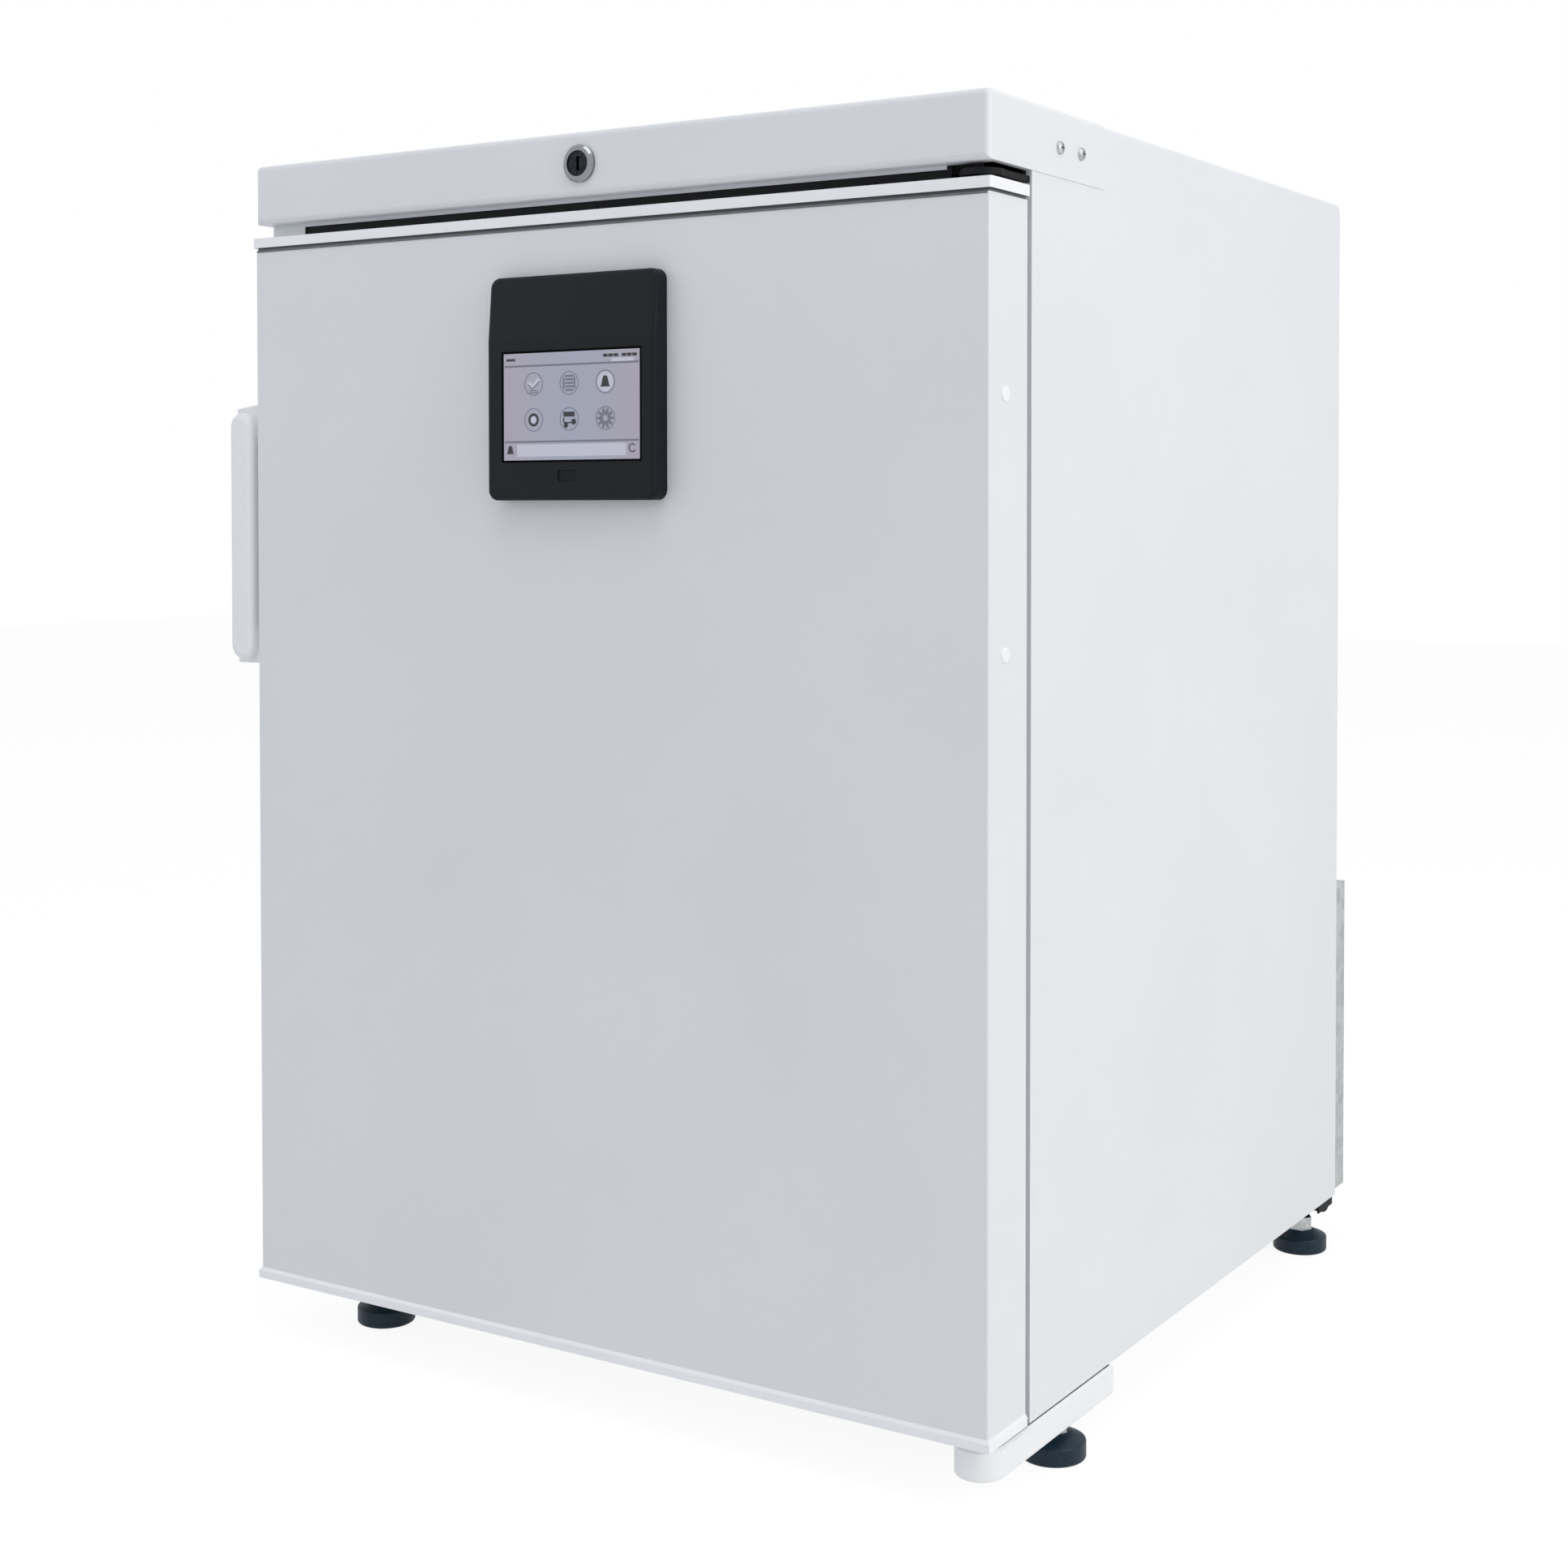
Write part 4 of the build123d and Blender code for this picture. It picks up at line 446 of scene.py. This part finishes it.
def display_picture():
    """Six round menu buttons, a status bar above and a field below, all generic.

    The layout is in shares of the panel's width and height, a sign's points in millimetres from its centre.
    """
    low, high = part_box("display_screen")
    width = high[0] - low[0]
    height = high[2] - low[2]
    button = 7.8 * mm
    rim = 0.6 * mm
    layer = 0.12 * mm
    left_x, middle_x, right_x = [low[0] + width * share for share in (0.226, 0.489, 0.752)]
    lower_z, upper_z = [low[2] + height * share for share in (0.376, 0.71)]

    def line(x, z, points, width_mm):
        """Stroke through points given in millimetres from a place on the panel."""
        return stroke([(x + dx * mm, z + dz * mm) for dx, dz in points], width_mm * mm)

    def dot(x, z, size_mm):
        """Disc of the given radius in millimetres."""
        return ring(x, z, 0.0, size_mm * mm, count=20)

    # Field, discs behind the bell and in the target, tick, field of the status bar
    field_z = low[2] + height * 0.09
    field_height = 8.0 * mm
    pale = [stroke([(low[0] + width * share, field_z) for share in (0.1, 0.9)], field_height),
            dot(right_x, upper_z, 6.4), dot(left_x, lower_z, 2.6),
            line(left_x, upper_z, [(-4.2, 1.2), (-1.4, -1.4), (1.2, 0.2), (4.6, 3.4)], 2.6),
            line(high[0] - 14.0 * mm, high[2] - 6.6 * mm, [(-9.0, 0.0), (9.0, 0.0)], 2.4)]
    marks("display_pale_marks", pale, low[1] - layer, display_ink("pale_marks", "#c0c2d2"))

    # Rims of the buttons, two rules across the panel, lines under the tick, page, gear
    grey = [ring(x, z, button - rim, button) for x in (left_x, middle_x, right_x) for z in (lower_z, upper_z)]
    rule_gap = 1.0 * mm
    rule_height = 1.3 * mm
    for rule_z in [low[2] + height * share for share in (0.172, 0.881)]:
        grey.append(stroke([(low[0] + rule_gap, rule_z), (high[0] - rule_gap, rule_z)], rule_height))
    grey.append(line(left_x, upper_z, [(-4.4, -0.4), (-1.4, -3.2), (1.2, -1.6), (4.8, 1.6)], 0.9))
    grey += [line(left_x, upper_z, [(-3.6, dz), (3.6, dz)], 0.8) for dz in (-4.4, -5.8)]
    grey += [line(middle_x, upper_z, [(-3.6, dz), (3.6, dz)], 1.4) for dz in (-4.6, -2.3, 0.0, 2.3, 4.6)]
    grey += [line(middle_x, upper_z, [(side * 4.6, -4.0), (side * 4.6, 4.0)], 1.2) for side in (-1, 1)]
    grey.append(ring(right_x, lower_z, 2.0 * mm, 4.4 * mm))
    for turn in np.arange(10) * pi / 5:
        tooth = [(r * cos(turn), r * sin(turn)) for r in (4.2, 6.6)]
        grey.append(line(right_x, lower_z, tooth, 1.9))
    marks("display_grey_marks", grey, low[1] - 2 * layer, display_ink("grey_marks", "#6e707f"))

    # Target, bell, trolley, small bell and open ring in the field's ends, signs of the status bar
    dark = [ring(left_x, lower_z, 2.6 * mm, 4.4 * mm), bell(right_x, upper_z, 6.6 * mm),
            line(middle_x, lower_z, [(-4.6, 3.2), (4.6, 3.2)], 3.2),
            line(middle_x, lower_z, [(-4.4, 1.0), (-4.4, -2.4)], 0.9),
            line(middle_x, lower_z, [(-4.4, -2.4), (1.6, -2.4)], 0.9),
            dot(middle_x - 2.6 * mm, lower_z - 4.2 * mm, 1.7),
            dot(middle_x + 3.8 * mm, lower_z - 1.8 * mm, 2.0),
            bell(low[0] + width * 0.05, low[2] + height * 0.095, 5.0 * mm),
            ring(low[0] + width * 0.945, low[2] + height * 0.1, 2.2 * mm, 2.9 * mm,
                 radians(40), radians(330), 24)]
    dark += [line(high[0], high[2], [(-step - 3.6, -3.6), (-step, -3.6)], 2.0)
             for step in (2.5, 6.7, 10.9, 17.5, 21.7, 25.9)]
    dark.append(line(low[0], high[2], [(2.5, -4.2), (10.0, -4.2)], 1.6))
    marks("display_dark_marks", dark, low[1] - 3 * layer, display_ink("dark_marks", "#17181e"))


def display_surround():
    """Painted shade: a black band round the glass, four straight bands in a ring on the case's face, for the
    dark shaded edge of the window.
    """
    low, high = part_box("display_screen")
    width = 1.5 * mm
    proud = 0.02 * mm
    left, right = low[0] - width / 2, high[0] + width / 2
    bottom, top = low[2] - width / 2, high[2] + width / 2
    sides = [stroke([(left - width / 2, z), (right + width / 2, z)], width) for z in (bottom, top)]
    sides += [stroke([(x, bottom + width / 2), (x, top - width / 2)], width) for x in (left, right)]
    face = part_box("display_housing")[0][1]
    # Painted shade: the band is near-black to stand for the shaded edge round the window.
    marks("display_surround", sides, face - proud, finish("window_edge_shade", window_edge_shade))


def strip(name, low, high, material, body):
    """Straight bar: a rectangle in y and z carried along x between two corners."""
    profile = np.array([(low[1], low[2]), (low[1], high[2]), (high[1], high[2]), (high[1], low[2])])
    verts = np.concatenate([np.column_stack([np.full(4, x), profile]) for x in (low[0], high[0])])
    faces = [(0, 1, 5, 4), (1, 2, 6, 5), (2, 3, 7, 6), (3, 0, 4, 7), (3, 2, 1, 0), (4, 5, 6, 7)]
    mesh = bpy.data.meshes.new(name)
    mesh.from_pydata(verts.tolist(), [], faces)
    shape = bmesh.new()
    shape.from_mesh(mesh)
    bmesh.ops.recalc_face_normals(shape, faces=shape.faces)
    shape.to_mesh(mesh)
    shape.free()
    piece = bpy.data.objects.new(name, mesh)
    bpy.context.collection.objects.link(piece)
    mesh.materials.append(material)
    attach(piece, body)


def cap_lip():
    """Lip folded down from the cap's lower flange in front of the rail, with a white end at its left."""
    rail_low, rail_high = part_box("top_rail")
    sheet = 0.8 * mm
    gap = 0.1 * mm
    lip_drop = 2.3 * mm
    end_drop = 1.4 * mm
    end_length = 31.0 * mm
    back = rail_low[1] - gap
    front = back - sheet
    steel = bpy.data.materials["powder_coat"]
    strip("rail_end_left", (rail_low[0], front, rail_low[2] - end_drop),
          (rail_low[0] + end_length, back, cap_low), steel, "cabinet")
    strip("cap_lip", (rail_low[0] + end_length, front, cap_low - lip_drop),
          (rail_high[0] - end_length, back, cap_low), steel, "cabinet")


def groove_shade_strip():
    """Painted shade: a grey strip along the top of the door's sheet, under the trim, standing for the shadow
    in the groove there.
    """
    low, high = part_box("door_skin")
    end_gap = 1.5 * mm
    proud = 0.3 * mm
    sunk = 0.2 * mm
    below = 1.3 * mm
    above = 0.2 * mm
    strip("groove_shade_strip", (low[0] + end_gap, low[1] - proud, high[2] - below),
          (high[0] - end_gap, low[1] + sunk, high[2] + above),
          finish("painted_groove_shade", painted_groove_shade), "door")


def seen_directly(tree):
    """1 on rays from the camera, in a reflection or through glass, 0 on the rays that light the object."""
    path = add(tree, "ShaderNodeLightPath")
    seen = path.outputs["Is Camera Ray"]
    for way in ("Is Glossy Ray", "Is Transmission Ray"):
        either = add(tree, "ShaderNodeMath", {0: seen, 1: path.outputs[way]}, operation="MAXIMUM")
        seen = either.outputs[0]
    return seen


def studio_floor():
    """Pale floor, white to the camera, that keeps a soft shadow of the object."""
    half = 9.0
    glow_strength = 1.12
    glow_share = 0.8
    corners = [(-half, -half, 0), (half, -half, 0), (half, half, 0), (-half, half, 0)]
    mesh = bpy.data.meshes.new("studio_floor")
    mesh.from_pydata(corners, [], [(0, 1, 2, 3)])
    floor = bpy.data.objects.new("studio_floor", mesh)
    bpy.context.collection.objects.link(floor)

    def surface(tree, coordinates):
        grain = add(tree, "ShaderNodeTexNoise", {
            "Vector": coordinates, "Scale": 1.0 / (20.0 * mm), "Detail": 2.0})
        tone = add(tree, "ShaderNodeValToRGB", {"Fac": grain.outputs["Fac"]},
                   {0.35: "#f2f2f2", 0.65: "#f5f5f5"})
        matte = add(tree, "ShaderNodeBsdfDiffuse", {"Color": tone.outputs["Color"]})
        glow = add(tree, "ShaderNodeEmission", {"Color": (1, 1, 1, 1), "Strength": glow_strength})
        share = add(tree, "ShaderNodeMath", {0: seen_directly(tree), 1: glow_share}, operation="MULTIPLY")
        return add(tree, "ShaderNodeMixShader", {
            "Fac": share.outputs[0], 1: matte.outputs[0], 2: glow.outputs[0]})
    mesh.materials.append(finish("studio_floor", surface))


def studio_world():
    """Soft cool sky for the light, plain white where the camera or a reflection sees it."""
    world = bpy.data.worlds.new("studio")
    bpy.context.scene.world = world
    world.use_nodes = True
    tree = world.node_tree
    tree.nodes.clear()
    sky = add(tree, "ShaderNodeBackground", {"Color": linear("#f6f9fe"), "Strength": sky_strength})
    white = add(tree, "ShaderNodeBackground", {"Color": (1, 1, 1, 1), "Strength": 1.0})
    mixed = add(tree, "ShaderNodeMixShader", {
        "Fac": seen_directly(tree), 1: sky.outputs[0], 2: white.outputs[0]})
    add(tree, "ShaderNodeOutputWorld", {"Surface": mixed.outputs[0]})


def softbox(name, place, target, size, power, tint):
    """Square area lamp that faces a target."""
    lamp = bpy.data.lights.new(name, "AREA")
    lamp.size = size
    lamp.energy = power
    lamp.color = linear(tint)[:3]
    holder = bpy.data.objects.new(name, lamp)
    bpy.context.collection.objects.link(holder)
    facing = (Vector(target) - Vector(place)).to_track_quat("-Z", "Y")
    holder.matrix_world = Matrix.Translation(place) @ facing.to_matrix().to_4x4()


def studio_lights():
    """Four softboxes: a key from the right, fills from the left and the front, and one overhead."""
    softbox("key_right", place=(3.2, -0.4, 1.6), target=(0.3, 0.0, 0.45), size=1.8, power=key_power,
            tint="#fffdfa")
    softbox("fill_left", place=(-3.0, -2.0, 1.8), target=(0.0, 0.0, 0.4), size=1.8, power=fill_power,
            tint="#eef4ff")
    softbox("front", place=(0.2, -3.6, 2.2), target=(0.0, 0.0, 0.4), size=1.8, power=front_power,
            tint="#f4f8ff")
    softbox("top", place=(0.5, -1.0, 3.0), target=(0.0, 0.0, 0.6), size=1.6, power=top_power,
            tint="#ffffff")


def photo_camera():
    """Camera at the photograph's place: yaw about z, then pitch down, then roll."""
    data = bpy.data.cameras.new("photo_camera")
    data.lens = camera_lens
    data.sensor_width = sensor_width
    data.sensor_fit = "HORIZONTAL"
    data.shift_y = camera_shift
    data.clip_start = camera_clip
    camera = bpy.data.objects.new("photo_camera", data)
    bpy.context.collection.objects.link(camera)
    turn = (Matrix.Rotation(camera_yaw, 4, "Z") @ Matrix.Rotation(pi / 2 - camera_pitch, 4, "X")
            @ Matrix.Rotation(camera_roll, 4, "Z"))
    door_low, door_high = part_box("door_skin")
    middle = (door_low[0] + door_high[0]) / 2
    place = (middle + camera_right, door_low[1] - camera_forward, camera_height)
    camera.matrix_world = Matrix.Translation(place) @ turn
    bpy.context.scene.camera = camera


paint_nodes()
display_picture()
display_surround()
cap_lip()
# Painted shade strip under the door's top trim.
groove_shade_strip()
studio_floor()
studio_world()
studio_lights()
photo_camera()
bpy.context.scene.view_settings.view_transform = "Standard"
